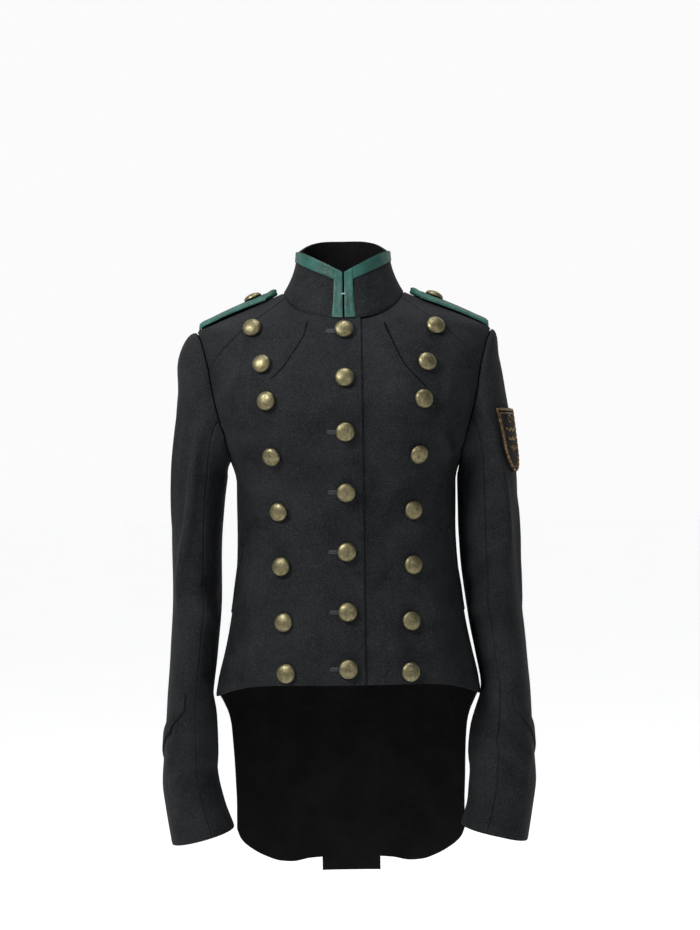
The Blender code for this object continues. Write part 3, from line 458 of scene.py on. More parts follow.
def armhole_path(start, end):
    """Stretch of the armhole, a rounded-square loop in angle and height, turned start to end degrees."""
    turn = np.radians(np.linspace(start, end, 400))
    power = 2 / ARMHOLE_POWER
    angle = 90 - ARMHOLE_HALF_ANGLE * np.sign(np.cos(turn)) * np.abs(np.cos(turn)) ** power
    z = ARMHOLE_CENTRE + ARMHOLE_HALF_HEIGHT * np.sign(np.sin(turn)) * np.abs(np.sin(turn)) ** power
    return np.stack([angle, z], axis=-1)


def turn_for(share):
    """Turn in degrees at which the armhole's rounded square has a given share of its half size."""
    return math.degrees(math.asin(abs(share) ** (ARMHOLE_POWER / 2)))


def neck_plan(turn):
    """Neckline in plan: an oval, turned in degrees from the centre front."""
    turn = np.radians(np.asarray(turn, float))
    power = 2 / NECK_POWER
    x = NECK_HALF_WIDTH * np.sign(np.sin(turn)) * np.abs(np.sin(turn)) ** power
    depth = np.where(np.cos(turn) > 0, NECK_FRONT, NECK_BACK)
    y = -depth * np.sign(np.cos(turn)) * np.abs(np.cos(turn)) ** power
    return x, y


def neck_turn(x):
    """Turn of the front neckline's point at a distance x from the mid-plane."""
    share = (abs(x) / NECK_HALF_WIDTH) ** (NECK_POWER / 2)
    return math.copysign(math.degrees(math.asin(share)), x)


# Neckline samples, shared by the collar and by every panel that meets it
TURN_YOKE = neck_turn(NECK_YOKE_X)
TURN_SEAM = 90 + math.degrees(math.asin((SHOULDER_SEAM_Y / NECK_BACK) ** (NECK_POWER / 2)))
NECK_TURNS = np.concatenate([
    [0.0],
    np.linspace(neck_turn(FRONT_LAP), TURN_YOKE, NECK_FRONT_CELLS + 1),
    np.linspace(TURN_YOKE, TURN_SEAM, ARMHOLE_YOKE + 1)[1:],
    np.linspace(TURN_SEAM, 180, NECK_BACK_CELLS + 1)[1:],
])
NECK_FRONT_END = NECK_FRONT_CELLS + 2
NECK_YOKE_END = NECK_FRONT_END + ARMHOLE_YOKE

# Armhole stretches, from the yoke seam over the shoulder, down the back, under the arm and up the front
TURN_FRONT_YOKE = turn_for((YOKE_ARMHOLE_HEIGHT - ARMHOLE_CENTRE) / ARMHOLE_HALF_HEIGHT)
TURN_PRINCESS = 180 - turn_for((PRINCESS_ARMHOLE_HEIGHT - ARMHOLE_CENTRE) / ARMHOLE_HALF_HEIGHT)
TURN_SHOULDER_SEAM = 90 + turn_for(SHOULDER_SEAM_ANGLE / ARMHOLE_HALF_ANGLE)
TURN_SIDE_SEAM = 270 - turn_for((SIDE_SEAM_ANGLE - 90) / ARMHOLE_HALF_ANGLE)
ARM_YOKE = even_samples(armhole_path(TURN_FRONT_YOKE, TURN_SHOULDER_SEAM), ARMHOLE_YOKE)
ARM_BACK = even_samples(armhole_path(TURN_SHOULDER_SEAM, TURN_PRINCESS), ARMHOLE_BACK)
ARM_SIDE_BACK = even_samples(armhole_path(TURN_PRINCESS, TURN_SIDE_SEAM), ARMHOLE_SIDE_BACK)
ARM_FRONT = even_samples(armhole_path(TURN_SIDE_SEAM, 360 + TURN_FRONT_YOKE), ARMHOLE_FRONT)


def neck_on_form(turns):
    x, y = neck_plan(turns)
    return plan_to_form(x, y)


def yoke_seam():
    """Yoke seam from the neckline to the armhole, as angle and height."""
    start = neck_on_form(np.array([TURN_YOKE]))[0]
    end = ARM_YOKE[0]
    x_end = form_point(end[0], end[1])[0]
    x = np.linspace(NECK_YOKE_X, x_end, 200)
    z = smooth(column(YOKE_SEAM, 0), column(YOKE_SEAM, 1), x)
    along = np.linspace(0, 1, 200)
    z = z + (start[1] - z[0]) * (1 - along) + (end[1] - z[-1]) * along
    path = np.stack([angle_at(x, z), z], axis=-1)
    path[0] = start
    path[-1] = end
    return even_samples(path, YOKE_CELLS)


def shoulder_seam():
    """Shoulder seam just behind the ridge, from the neckline to the armhole."""
    start = neck_plan(TURN_SEAM)
    end = form_point(*ARM_YOKE[-1])
    path = plan_to_form(np.linspace(start[0], end[0], 200), np.linspace(start[1], end[1], 200))
    path[-1] = ARM_YOKE[-1]
    return even_samples(path, YOKE_CELLS)


def hem_height(angle):
    """Straight front hem: it hangs a little lower at the side seam than at the centre."""
    turn = np.radians(np.clip(np.abs(angle), 0, 90))
    return HEM_FRONT + (HEM_SIDE - HEM_FRONT) * np.sin(turn) ** HEM_POWER


def side_seam():
    z = np.linspace(HEM_SIDE, ARM_FRONT[0][1], HEM_TO_UNDERARM + 1)
    return np.stack([np.full_like(z, SIDE_SEAM_ANGLE), z], axis=-1)


def princess_seam(count):
    """Centre-back seam from the tail's end up to the armhole."""
    z = np.linspace(LOBE_EDGE[0][1], PRINCESS_ARMHOLE_HEIGHT, 400)
    x = smooth(column(PRINCESS_SEAM, 0), column(PRINCESS_SEAM, 1), z)
    path = np.stack([angle_at(x, z, True), z], axis=-1)
    path[-1] = ARM_BACK[-1]
    return even_samples(path, count)


def patch_between(bottom, top, left, right, fade=1):
    """Fill between four edges: straight from left to right, plus the bends of the bottom and the top.

    The top's bend fades downward with the power fade, so that a wide top doesn't push a narrow waist."""
    v = np.linspace(0, 1, len(left))[:, None, None] ** fade
    u = np.linspace(0, 1, len(bottom))[None, :, None]
    straight = (1 - u) * left[:, None] + u * right[:, None]
    bottom_bend = bottom[None] - (1 - u) * bottom[0] - u * bottom[-1]
    top_bend = top[None] - (1 - u) * top[0] - u * top[-1]
    return straight + (1 - v) * bottom_bend + v * top_bend


def panel_between(bottom, top, left, right, start, fade=1):
    """Fill between four edges of angle and height along the cloth: by girth from a start angle."""
    edges = []
    for edge in (bottom, top, left, right):
        edges.append(np.stack([girth(edge[:, 0], edge[:, 1], start), edge[:, 1]], axis=-1))
    flat = patch_between(*edges, fade)
    angle = angle_for_girth(flat[..., 0], flat[..., 1], start)
    angle[0], angle[-1] = bottom[:, 0], top[:, 0]
    angle[:, 0], angle[:, -1] = left[:, 0], right[:, 0]
    return form_point(angle, flat[..., 1])


def draw_in(grid, sides="news"):
    """Move the named edges of a panel inward along the cloth by half the seam gap."""
    moved = grid.copy()
    edges = {
        "s": (np.s_[0], np.s_[1]),
        "n": (np.s_[-1], np.s_[-2]),
        "w": (np.s_[:, 0], np.s_[:, 1]),
        "e": (np.s_[:, -1], np.s_[:, -2]),
    }
    for side in sides:
        edge, next_row = edges[side]
        away = grid[next_row] - grid[edge]
        length = np.maximum(np.linalg.norm(away, axis=-1, keepdims=True), 1e-6)
        moved[edge] = moved[edge] + away / length * SEAM_GAP / 2
    return moved


def grid_normals(grid):
    """Unit normals of a grid of points, from its own differences."""
    across = np.gradient(grid, axis=1)
    along = np.gradient(grid, axis=0)
    normal = np.cross(across, along)
    return normal / np.maximum(np.linalg.norm(normal, axis=-1, keepdims=True), 1e-9)


def mirror(points, side):
    """Points for the wearer's left at side 1 and for the right at side -1."""
    return points * np.array([side, 1.0, 1.0])


# Folds: side of the wearer (-1 right, 1 left), half width, rise, then points on the body as
# distance from the mid-plane and height; a negative rise is a trough
FRONT_FOLDS = [
    (-1, 9.0, 2.6, [(123, -98), (131, -113), (142, -132)]),
    (-1, 9.0, 2.4, [(129, -107), (126, -140), (119, -172)]),
    (-1, 8.0, -1.8, [(136, -104), (137, -128), (131, -160)]),
    (-1, 12.0, 1.8, [(96, -196), (60, -232), (34, -262)]),
    (-1, 13.0, -1.6, [(112, -214), (84, -246), (48, -282)]),
    (-1, 14.0, 1.7, [(118, -262), (88, -288), (46, -318)]),
    (-1, 15.0, 2.0, [(104, -368), (112, -420), (120, -484)]),
    (-1, 16.0, 1.6, [(48, -384), (50, -430), (53, -476)]),
    (1, 9.0, 2.6, [(112, -180), (120, -196), (128, -212)]),
    (1, 9.0, -1.6, [(122, -172), (129, -188), (133, -200)]),
    (1, 10.0, 1.8, [(128, -116), (122, -146), (112, -170)]),
    (1, 12.0, 1.8, [(104, -212), (70, -240), (40, -258)]),
    (1, 13.0, -1.5, [(108, -238), (80, -262), (44, -290)]),
    (1, 14.0, 1.5, [(112, -282), (84, -300), (48, -326)]),
    (1, 15.0, 2.0, [(100, -372), (108, -424), (114, -484)]),
    (1, 16.0, 1.5, [(44, -392), (45, -436), (47, -476)]),
    (-1, 7.0, -0.9, [(43.8, -46.3), (47.1, -60.6), (58.6, -80.3), (74.2, -103.0), (87.4, -116.3)]),
    (1, 7.0, -0.9, [(48.6, -48.7), (59.5, -74.0), (71.3, -98.5), (83.1, -112.8), (96.3, -128.2)]),
    (-1, 11.0, 1.8, [(126, -230), (100, -252), (66, -268)]),
    (1, 11.0, 1.8, [(126, -226), (96, -250), (62, -272)]),
    (-1, 14.0, -1.8, [(80, -376), (84, -430), (88, -482)]),
    (1, 14.0, -1.8, [(72, -380), (78, -430), (84, -482)]),
    (-1, 12.0, -2.0, [(146, -170), (138, -192), (122, -212)]),
    (1, 12.0, 1.6, [(150, -150), (136, -168), (118, -178)]),
]
BACK_FOLDS = [
    (-1, 12.0, 2.0, [(122, -176), (96, -206), (58, -236)]),
    (-1, 12.0, -1.6, [(118, -212), (84, -238), (44, -262)]),
    (-1, 13.0, 1.8, [(104, -262), (70, -284), (26, -300)]),
    (-1, 17.0, 2.4, [(70, -400), (78, -520), (88, -700)]),
    (-1, 15.0, -1.6, [(104, -430), (112, -540), (120, -690)]),
    (1, 12.0, 1.9, [(120, -182), (92, -210), (54, -242)]),
    (1, 12.0, -1.5, [(114, -218), (80, -244), (42, -268)]),
    (1, 13.0, 1.7, [(100, -270), (66, -290), (24, -306)]),
    (1, 17.0, 2.2, [(64, -410), (72, -530), (82, -704)]),
    (1, 15.0, -1.7, [(100, -440), (106, -550), (114, -694)]),
    (1, 18.0, 1.8, [(8, -380), (10, -500), (12, -730)]),
]

# Folds of a sleeve: side, half width, rise, then points as turn round the sleeve and height
SLEEVE_FOLDS = [
    (-1, 6.5, 3.6, [(0.0, -128), (0.012, -200), (0.035, -300), (0.08, -345), (0.13, -392)]),
    (-1, 8.0, -2.0, [(0.06, -150), (0.075, -240), (0.10, -310)]),
    (-1, 9.0, 2.4, [(0.16, -120), (0.17, -210), (0.18, -300)]),
    (-1, 10.0, 2.2, [(0.66, -330), (0.58, -372), (0.45, -400)]),
    (-1, 9.0, -2.2, [(0.96, -356), (0.86, -372), (0.74, -380)]),
    (-1, 9.0, 2.4, [(1.0, -384), (0.90, -402), (0.78, -410)]),
    (-1, 8.0, 2.6, [(0.15, -566), (0.09, -552), (0.03, -536)]),
    (-1, 8.0, -2.6, [(0.12, -584), (0.07, -574), (0.0, -566)]),
    (-1, 6.0, 2.6, [(0.12, -602), (0.06, -600), (0.0, -594)]),
    (-1, 6.0, -2.2, [(0.13, -540), (0.11, -546), (0.07, -550)]),
    (-1, 10.0, 2.4, [(0.30, -470), (0.42, -500), (0.55, -520)]),
    (-1, 9.0, -2.0, [(0.80, -590), (0.90, -596), (0.99, -598)]),
    (-1, 26.0, 3.6, [(0.80, -500), (0.79, -540), (0.79, -590)]),
    (1, 26.0, 3.2, [(0.80, -505), (0.79, -545), (0.79, -592)]),
    (1, 9.0, -2.0, [(0.80, -592), (0.88, -597), (0.96, -600)]),
    (1, 8.0, 2.8, [(0.0, -110), (0.02, -190), (0.05, -270), (0.087, -336)]),
    (1, 9.0, -2.0, [(0.93, -170), (0.95, -250), (0.985, -330)]),
    (1, 9.0, 2.2, [(0.19, -260), (0.20, -330), (0.21, -400)]),
    (1, 10.0, 2.2, [(0.66, -336), (0.58, -376), (0.45, -404)]),
    (1, 9.0, -2.2, [(0.96, -350), (0.86, -366), (0.74, -374)]),
    (1, 9.0, 2.4, [(1.0, -378), (0.90, -396), (0.78, -404)]),
    (1, 7.0, 3.2, [(0.86, -545), (0.98, -560), (0.04, -584), (0.12, -596)]),
    (1, 8.0, -2.6, [(0.90, -572), (0.99, -584), (0.06, -602)]),
    (1, 8.0, -2.6, [(0.98, -536), (0.05, -560), (0.13, -574)]),
    (1, 10.0, 2.4, [(0.30, -476), (0.42, -506), (0.55, -526)]),
]


def fold_rise(points, folds):
    """Sum of soft ridges: rise times exp(-(d / half width)^2), d the distance to the fold's line."""
    total = np.zeros(points.shape[:-1])
    for half, rise, line in folds:
        count = len(line) - 1
        best = np.full(total.shape, 1e6)
        taper = np.zeros(total.shape)
        for k in range(count):
            along = line[k + 1] - line[k]
            t = np.clip((points - line[k]) @ along / (along @ along), 0, 1)
            distance = np.linalg.norm(points - line[k] - t[..., None] * along, axis=-1)
            share = (k + t) / count
            nearer = distance < best
            taper = np.where(nearer, 1 - np.abs(2 * share - 1) ** 3, taper)
            best = np.minimum(best, distance)
        total = total + FOLD_STRENGTH * rise * taper * np.exp(-((best / half) ** 2))
    return total


def unevenness(points, size):
    """Slow waves of hung cloth: a sum of three sines of the position, size millimetres high."""
    x, y, z = points[..., 0], points[..., 1], points[..., 2]
    waves = np.sin(x / 19 + z / 47 + 1.3) + np.sin(z / 31 - y / 23 + x / 61) + np.sin(x / 37 - z / 17 + y / 29 + 2.1)
    return size * waves / 3


def body_fold_lines():
    lines = []
    for table, behind in ((FRONT_FOLDS, False), (BACK_FOLDS, True)):
        for side, half, rise, path in table:
            x, z = column(path, 0), column(path, 1)
            lines.append((half, rise, mirror(form_point(angle_at(x, z, behind), z), side)))
    return lines


BODY_FOLD_LINES = body_fold_lines()


def body_rise(points):
    """How far the worn body cloth stands off its form, folds and unevenness together, nothing at the neck."""
    x, y = points[..., 0], points[..., 1]
    depth = np.where(y < 0, NECK_FRONT, NECK_BACK)
    beyond = np.abs(x / NECK_HALF_WIDTH) ** NECK_POWER + np.abs(y / depth) ** NECK_POWER - 1
    fade = np.clip(beyond / NECK_FADE, 0, 1)
    return fade * (fold_rise(points, BODY_FOLD_LINES) + unevenness(points, 0.8))


def linear(code):
    """An sRGB colour written as hex, as linear red, green, blue and one."""
    parts = [int(code[k:k + 2], 16) / 255 for k in (0, 2, 4)]
    return (*(c / 12.92 if c <= 0.04045 else ((c + 0.055) / 1.055) ** 2.4 for c in parts), 1.0)


def node(tree, kind, settings=(), **links):
    """Add a node; settings are its own properties, links fill its inputs with values or sockets."""
    made = tree.nodes.new(kind)
    for key, value in dict(settings).items():
        setattr(made, key, value)
    for key, value in links.items():
        socket = made.inputs[int(key[1:])] if key[1:].isdigit() else made.inputs[key.replace("_", " ")]
        if isinstance(value, bpy.types.NodeSocket):
            tree.links.new(value, socket)
        else:
            socket.default_value = value
    return made


def ramp(tree, factor, *stops):
    """Colour ramp from a socket: stops are pairs of position and colour."""
    made = node(tree, "ShaderNodeValToRGB", Fac=factor)
    band = made.color_ramp
    for position, colour in stops[1:-1]:
        band.elements.new(position)
    for element, (position, colour) in zip(band.elements, stops):
        element.position = position
        element.color = colour
    return made.outputs["Color"]


def new_material(name, **shader):
    """A material with only its shader and output; returns it, its tree and the shader."""
    material = bpy.data.materials.new(name)
    material.use_nodes = True
    tree = material.node_tree
    principled = tree.nodes["Principled BSDF"]
    for key, value in shader.items():
        principled.inputs[key.replace("_", " ")].default_value = value
    return material, tree, principled


def wool(name, dark, light, nap):
    """Melton wool: mottled dye and pale flecks over a fine twill, with a soft nap that catches light; faces marked
    inner are darkened to near black as painted shade of the garment's inside.
    """
    material, tree, shader = new_material(
        name, Roughness=0.88, Sheen_Weight=nap, Sheen_Roughness=0.42, Sheen_Tint=linear("7f858c"), IOR=1.4,
        Specular_IOR_Level=0.14,
    )
    place = node(tree, "ShaderNodeTexCoord").outputs["Object"]
    cut = node(tree, "ShaderNodeUVMap", {"uv_map": "cut"}).outputs["UV"]
    mottle = node(tree, "ShaderNodeTexNoise", Vector=place, Scale=26.0, Detail=5.0, Roughness=0.6).outputs["Fac"]
    fleck = node(tree, "ShaderNodeTexNoise", Vector=place, Scale=760.0, Detail=3.0).outputs["Fac"]
    base = ramp(tree, mottle, (0.3, linear(dark)), (0.7, linear(light)))
    bright = ramp(tree, fleck, (0.44, linear("000000")), (0.76, linear("3a3d40")))
    cloth = node(tree, "ShaderNodeMixRGB", {"blend_type": "ADD"}, Fac=0.36, Color1=base, Color2=bright)
    # Painted shade: faces marked inner are mixed to near black, standing for the shade inside the garment; the cloth
    # there is the same wool.
    inner = node(tree, "ShaderNodeAttribute", {"attribute_name": "inner"}).outputs["Fac"]
    cloth = node(tree, "ShaderNodeMixRGB", Fac=inner, Color1=cloth.outputs["Color"], Color2=linear("040405"))
    tree.links.new(cloth.outputs["Color"], shader.inputs["Base Color"])
    twill = node(tree, "ShaderNodeTexWave", {"bands_direction": "DIAGONAL"}, Vector=cut, Scale=340.0, Distortion=1.2)
    worn = ramp(tree, mottle, (0.35, linear("dadada")), (0.65, linear("eeeeee")))
    tree.links.new(worn, shader.inputs["Roughness"])
    grain = node(tree, "ShaderNodeBump", Height=twill.outputs["Fac"], Strength=0.28, Distance=0.0004)
    nap_bump = node(
        tree, "ShaderNodeBump", Height=fleck, Strength=0.35, Distance=0.0005, Normal=grain.outputs["Normal"],
    )
    lumps = node(tree, "ShaderNodeTexNoise", Vector=place, Scale=130.0, Detail=3.0).outputs["Fac"]
    soft = node(tree, "ShaderNodeBump", Height=lumps, Strength=0.42, Distance=0.002, Normal=nap_bump.outputs["Normal"])
    tree.links.new(soft.outputs["Normal"], shader.inputs["Normal"])
    return material


def satin(name, dark, middle, light):
    """Satin ribbon: ribs across its length, a smooth sheen along it and slight puckers."""
    material, tree, shader = new_material(name, Roughness=0.45, Specular_IOR_Level=0.3, Anisotropic=0.4)
    cut = node(tree, "ShaderNodeUVMap", {"uv_map": "cut"}).outputs["UV"]
    place = node(tree, "ShaderNodeTexCoord").outputs["Object"]
    tone = node(tree, "ShaderNodeTexNoise", Vector=place, Scale=60.0, Detail=4.0).outputs["Fac"]
    colour = ramp(tree, tone, (0.28, linear(dark)), (0.5, linear(middle)), (0.74, linear(light)))
    tree.links.new(colour, shader.inputs["Base Color"])
    ribs = node(tree, "ShaderNodeTexWave", {"bands_direction": "X"}, Vector=cut, Scale=420.0, Distortion=0.6)
    rib_bump = node(tree, "ShaderNodeBump", Height=ribs.outputs["Fac"], Strength=0.25, Distance=0.0003)
    pucker = node(tree, "ShaderNodeTexNoise", Vector=place, Scale=190.0, Detail=2.0).outputs["Fac"]
    bump = node(tree, "ShaderNodeBump", Height=pucker, Strength=0.3, Distance=0.0016, Normal=rib_bump.outputs["Normal"])
    tree.links.new(bump.outputs["Normal"], shader.inputs["Normal"])
    return material


def old_metal(name, dark, middle, light, roughness):
    """Aged metal: bright where it is rubbed, brown and rougher where tarnish has gathered."""
    material, tree, shader = new_material(name, Metallic=1.0)
    place = node(tree, "ShaderNodeTexCoord").outputs["Object"]
    patina = node(tree, "ShaderNodeTexNoise", Vector=place, Scale=240.0, Detail=6.0, Roughness=0.7).outputs["Fac"]
    colour = ramp(tree, patina, (0.32, linear(dark)), (0.5, linear(middle)), (0.72, linear(light)))
    tree.links.new(colour, shader.inputs["Base Color"])
    rough = ramp(tree, patina, (0.3, (roughness + 0.25,) * 3 + (1,)), (0.7, (roughness,) * 3 + (1,)))
    tree.links.new(rough, shader.inputs["Roughness"])
    scratch = node(tree, "ShaderNodeTexNoise", Vector=place, Scale=900.0, Detail=3.0).outputs["Fac"]
    bump = node(tree, "ShaderNodeBump", Height=scratch, Strength=0.2, Distance=0.0003)
    tree.links.new(bump.outputs["Normal"], shader.inputs["Normal"])
    return material


def thread(name, dark, light, gloss):
    """Sewing thread, and the near-black dart strips that paint crease shade: fine slanting plies in a dull, slightly
    worn twist.
    """
    material, tree, shader = new_material(name, Roughness=0.75, Specular_IOR_Level=gloss)
    place = node(tree, "ShaderNodeTexCoord").outputs["Object"]
    plies = node(tree, "ShaderNodeTexWave", {"bands_direction": "DIAGONAL"}, Vector=place, Scale=420.0, Distortion=2.0)
    colour = ramp(tree, plies.outputs["Fac"], (0.2, linear(dark)), (0.8, linear(light)))
    tree.links.new(colour, shader.inputs["Base Color"])
    bump = node(tree, "ShaderNodeBump", Height=plies.outputs["Fac"], Strength=0.4, Distance=0.0003)
    tree.links.new(bump.outputs["Normal"], shader.inputs["Normal"])
    return material


# What each surface really is
WOOL_CLOTH = wool("charcoal_wool_twill", "050607", "191a1c", 0.022)
FELT = wool("black_felt", "0b0a0a", "121010", 0.05)
SATIN = satin("teal_satin_ribbon", "0d302a", "13423a", "1b5047")
BUTTON_BRASS = old_metal("antique_brass", "514a37", "6c664d", "857d60", 0.36)
HOOK_STEEL = old_metal("nickelled_steel", "6c6c6a", "a2a29f", "c6c6c2", 0.25)
BULLION = old_metal("bronze_bullion_wire", "2c231a", "594630", "9c8258", 0.36)
HOLE_THREAD = thread("charcoal_silk_twist", "1f2224", "3a3d40", 0.3)
# Near-black strips on the neck darts: real dart lines whose darkness is painted shade of their creases.
DART_CREASE_SHADE = thread("dart_crease_painted_shade", "030303", "070708", 0.05)


def grid_lengths(grid):
    """Lengths along the rows and up the columns of a grid, as its flat cut coordinates."""
    u = np.cumsum(np.linalg.norm(np.diff(grid, axis=1, prepend=grid[:, :1]), axis=-1), axis=1)
    v = np.cumsum(np.linalg.norm(np.diff(grid, axis=0, prepend=grid[:1]), axis=-1), axis=0)
    return np.stack([u, v], axis=-1)


def add_mesh(name, points, faces, cut, material, smooth_angle=50.0, closed=True):
    """One mesh object from points in millimetres, its cut coordinates kept as a UV layer in metres."""
    mesh = bpy.data.meshes.new(name + "_mesh")
    mesh.from_pydata((np.asarray(points) * MM).tolist(), [], faces)
    layer = mesh.uv_layers.new(name="cut")
    corners = np.empty(len(mesh.loops), np.int32)
    mesh.loops.foreach_get("vertex_index", corners)
    layer.data.foreach_set("uv", (np.asarray(cut)[corners] * MM).ravel().astype(np.float32))
    if closed:
        work = bmesh.new()
        work.from_mesh(mesh)
        bmesh.ops.recalc_face_normals(work, faces=work.faces)
        work.to_mesh(mesh)
        work.free()
    mesh.shade_smooth()
    mesh.set_sharp_from_angle(angle=math.radians(smooth_angle))
    mesh.materials.append(material)
    made = bpy.data.objects.new(name + "_made", mesh)
    bpy.context.scene.collection.objects.link(made)
    return made


def wall_faces(rows, cols):
    """Faces of a closed wall between two grids of rows and cols, the second numbered after the first."""
    count = rows * cols
    index = np.arange(count).reshape(rows, cols)
    a, b = index[:-1, :-1].ravel(), index[:-1, 1:].ravel()
    c, d = index[1:, 1:].ravel(), index[1:, :-1].ravel()
    faces = np.stack([a, b, c, d], axis=-1).tolist()
    faces += (np.stack([d, c, b, a], axis=-1) + count).tolist()
    rim = np.concatenate([index[0, :-1], index[:-1, -1], index[-1, :0:-1], index[:0:-1, 0]])
    after = np.roll(rim, -1)
    return faces + np.stack([after, rim, rim + count, after + count], axis=-1).tolist()


def place(piece, slot, *replaced):
    """Hand a finished piece over: it rides on the garment and stands in for its solids."""
    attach(piece, "root")
    for name in replaced:
        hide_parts(name)
    return piece


def add_wall(name, outer, inner, material, slot, *replaced):
    """A closed wall between an outer and an inner grid of points; the inner points are marked so that wool paints them
    in shade.
    """
    points = np.concatenate([outer.reshape(-1, 3), inner.reshape(-1, 3)])
    cut = np.tile(grid_lengths(outer).reshape(-1, 2), (2, 1))
    piece = add_mesh(name, points, wall_faces(*outer.shape[:2]), cut, material)
    # Mark the inner points, which the wool materials darken as painted shade of the cloth's inside.
    inside = piece.data.attributes.new("inner", "FLOAT", "POINT")
    inside.data.foreach_set("value", np.repeat([0.0, 1.0], len(points) // 2).astype(np.float32))
    return place(piece, slot, *replaced)


def edge_rows(values, sides):
    """Extra grid lines close to the named edges, where the cloth rolls down into its seam."""
    near, far = EDGE_LINES
    for side in sides:
        if side in "ew":
            values = np.swapaxes(values, 0, 1)
        if side in "ne":
            values = values[::-1]
        step = values[1] - values[0]
        values = np.concatenate([values[:1], values[:1] + near * step, values[:1] + far * step, values[1:]])
        if side in "ne":
            values = values[::-1]
        if side in "ew":
            values = np.swapaxes(values, 0, 1)
    return values


def seam_sink(shape, sides, depth):
    """How far each point of a grid with extra edge lines sinks at its named edges."""
    sink = np.zeros(shape)
    lines = {"s": (np.s_[0], np.s_[1]), "n": (np.s_[-1], np.s_[-2]), "w": (np.s_[:, 0], np.s_[:, 1])}
    lines["e"] = (np.s_[:, -1], np.s_[:, -2])
    for side in sides:
        edge, beside = lines[side]
        sink[edge] = np.maximum(sink[edge], depth)
        sink[beside] = np.maximum(sink[beside], 0.28 * depth)
    return sink


def add_body_panel(name, grid, side, sides, free="", sink=None):
    """A body panel: its form moved out by the folds, rolled down into its seams and round its free edges."""
    fine = settle_fine(edge_rows(grid, sides + free))
    points = mirror(fine, side)
    normal = mirror(form_normal(fine), side)
    rise = body_rise(points)
    if sink is not None:
        rise = rise - edge_rows(sink, sides + free)
    points = points + normal * rise[..., None]
    rolled = seam_sink(rise.shape, sides, SEAM_SINK) + seam_sink(rise.shape, free, EDGE_SINK)
    outer = draw_in(points - normal * rolled[..., None], sides)
    return add_wall(name, outer, points - normal * CLOTH, WOOL_CLOTH, "wool", name)


def settle_fine(grid):
    """The grid itself; its extra lines lie within a hair of the form already."""
    return grid


def make_fronts():
    """Two fronts: the wearer's right laps over the left, which runs on beneath it."""
    right = np.concatenate([side_seam(), ARM_FRONT[1:]])
    neck = neck_on_form(np.concatenate([[-neck_turn(FRONT_LAP)], NECK_TURNS[:NECK_FRONT_END]]))
    top = np.concatenate([neck, yoke_seam()[1:]])
    rows = len(right)
    underarm_row = HEM_TO_UNDERARM + UNDERARM_CELLS
    heights = np.concatenate([
        np.linspace(HEM_FRONT, CHEST_ROW_HEIGHT, underarm_row + 1),
        np.linspace(CHEST_ROW_HEIGHT, top[0][1], rows - underarm_row)[1:],
    ])
    left = np.stack([-angle_at(np.full(rows, FRONT_LAP), heights), heights], axis=-1)
    left[-1] = top[0]
    hem = np.linspace(left[0][0], SIDE_SEAM_ANGLE, 900)
    bottom = even_samples(np.stack([hem, hem_height(hem)], axis=-1), len(top) - 1)
    grid = panel_between(bottom, top, left, right, 0.0)
    ease = np.clip((grid[..., 0] - FRONT_LAP - LAP_EASE_START) / LAP_EASE, 0, 1)
    sink = (CLOTH + LAP_GAP) * (1 - ease * ease * (3 - 2 * ease))
    add_body_panel("front_right", grid, -1, "ne", "sw")
    add_body_panel("front_left", grid, 1, "ne", "sw", sink)
    return grid


def make_yokes():
    left = neck_on_form(NECK_TURNS[NECK_FRONT_END - 1:NECK_YOKE_END])
    edges = (yoke_seam(), shoulder_seam(), left, ARM_YOKE)
    grid = settle(patch_between(*(form_point(edge[:, 0], edge[:, 1]) for edge in edges)))
    for name, side in (("yoke_right", -1), ("yoke_left", 1)):
        add_body_panel(name, grid, side, "news")


def make_back():
    """Centre back in one piece, and a side back with its tail lobe on each side."""
    seam_rows = TAIL_CELLS + HEM_TO_UNDERARM
    princess = princess_seam(seam_rows)
    neck = neck_on_form(NECK_TURNS[NECK_YOKE_END - 1:])
    half_top = np.concatenate([neck[::-1], shoulder_seam()[1:]])
    right = np.concatenate([
        [[angle_at(TAIL_PANEL_HALF, TAIL_END, True), TAIL_END]], princess, ARM_BACK[::-1][1:],
    ])
    middle = np.full((len(right), 2), 180.0)
    middle[:, 1] = np.concatenate([
        [TAIL_END],
        np.linspace(LOBE_EDGE[0][1], BACK_ROW_HEIGHT, seam_rows + 1),
        np.linspace(BACK_ROW_HEIGHT, half_top[0][1], ARMHOLE_BACK + 1)[1:],
    ])
    share = np.linspace(0, 1, len(half_top))[:, None]
    bottom = middle[0] * (1 - share) + right[0] * share
    half = panel_between(bottom, half_top, middle, right, 180.0, BACK_FADE)
    whole = np.concatenate([mirror(half[:, :0:-1], -1), half], axis=1)
    add_body_panel("back_centre", whole, 1, "new", "s")
    tail = np.stack([column(TAIL_EDGE, 0), column(TAIL_EDGE, 1)], axis=-1)
    z = np.linspace(tail[0][0], tail[-1][0], 900)
    x = smooth(tail[:, 0], tail[:, 1], z)
    path = np.stack([angle_at(x, z, True), z], axis=-1)
    path[-1] = side_seam()[0]
    outer_edge = np.concatenate([even_samples(path, TAIL_CELLS), side_seam()[1:]])
    lobe_x = np.linspace(LOBE_EDGE[0][0], LOBE_EDGE[-1][0], 900)
    lobe_z = smooth(column(LOBE_EDGE, 0), column(LOBE_EDGE, 1), lobe_x)
    lobe = np.stack([angle_at(lobe_x, lobe_z, True), lobe_z], axis=-1)
    lobe[0] = princess[0]
    lobe[-1] = outer_edge[0]
    lobe = even_samples(lobe, ARMHOLE_SIDE_BACK)
    grid = panel_between(lobe, ARM_SIDE_BACK, princess, outer_edge, 180.0, SIDE_BACK_FADE)
    for name, side in (("side_back_right", -1), ("side_back_left", 1)):
        add_body_panel(name, grid, side, "new", "s")


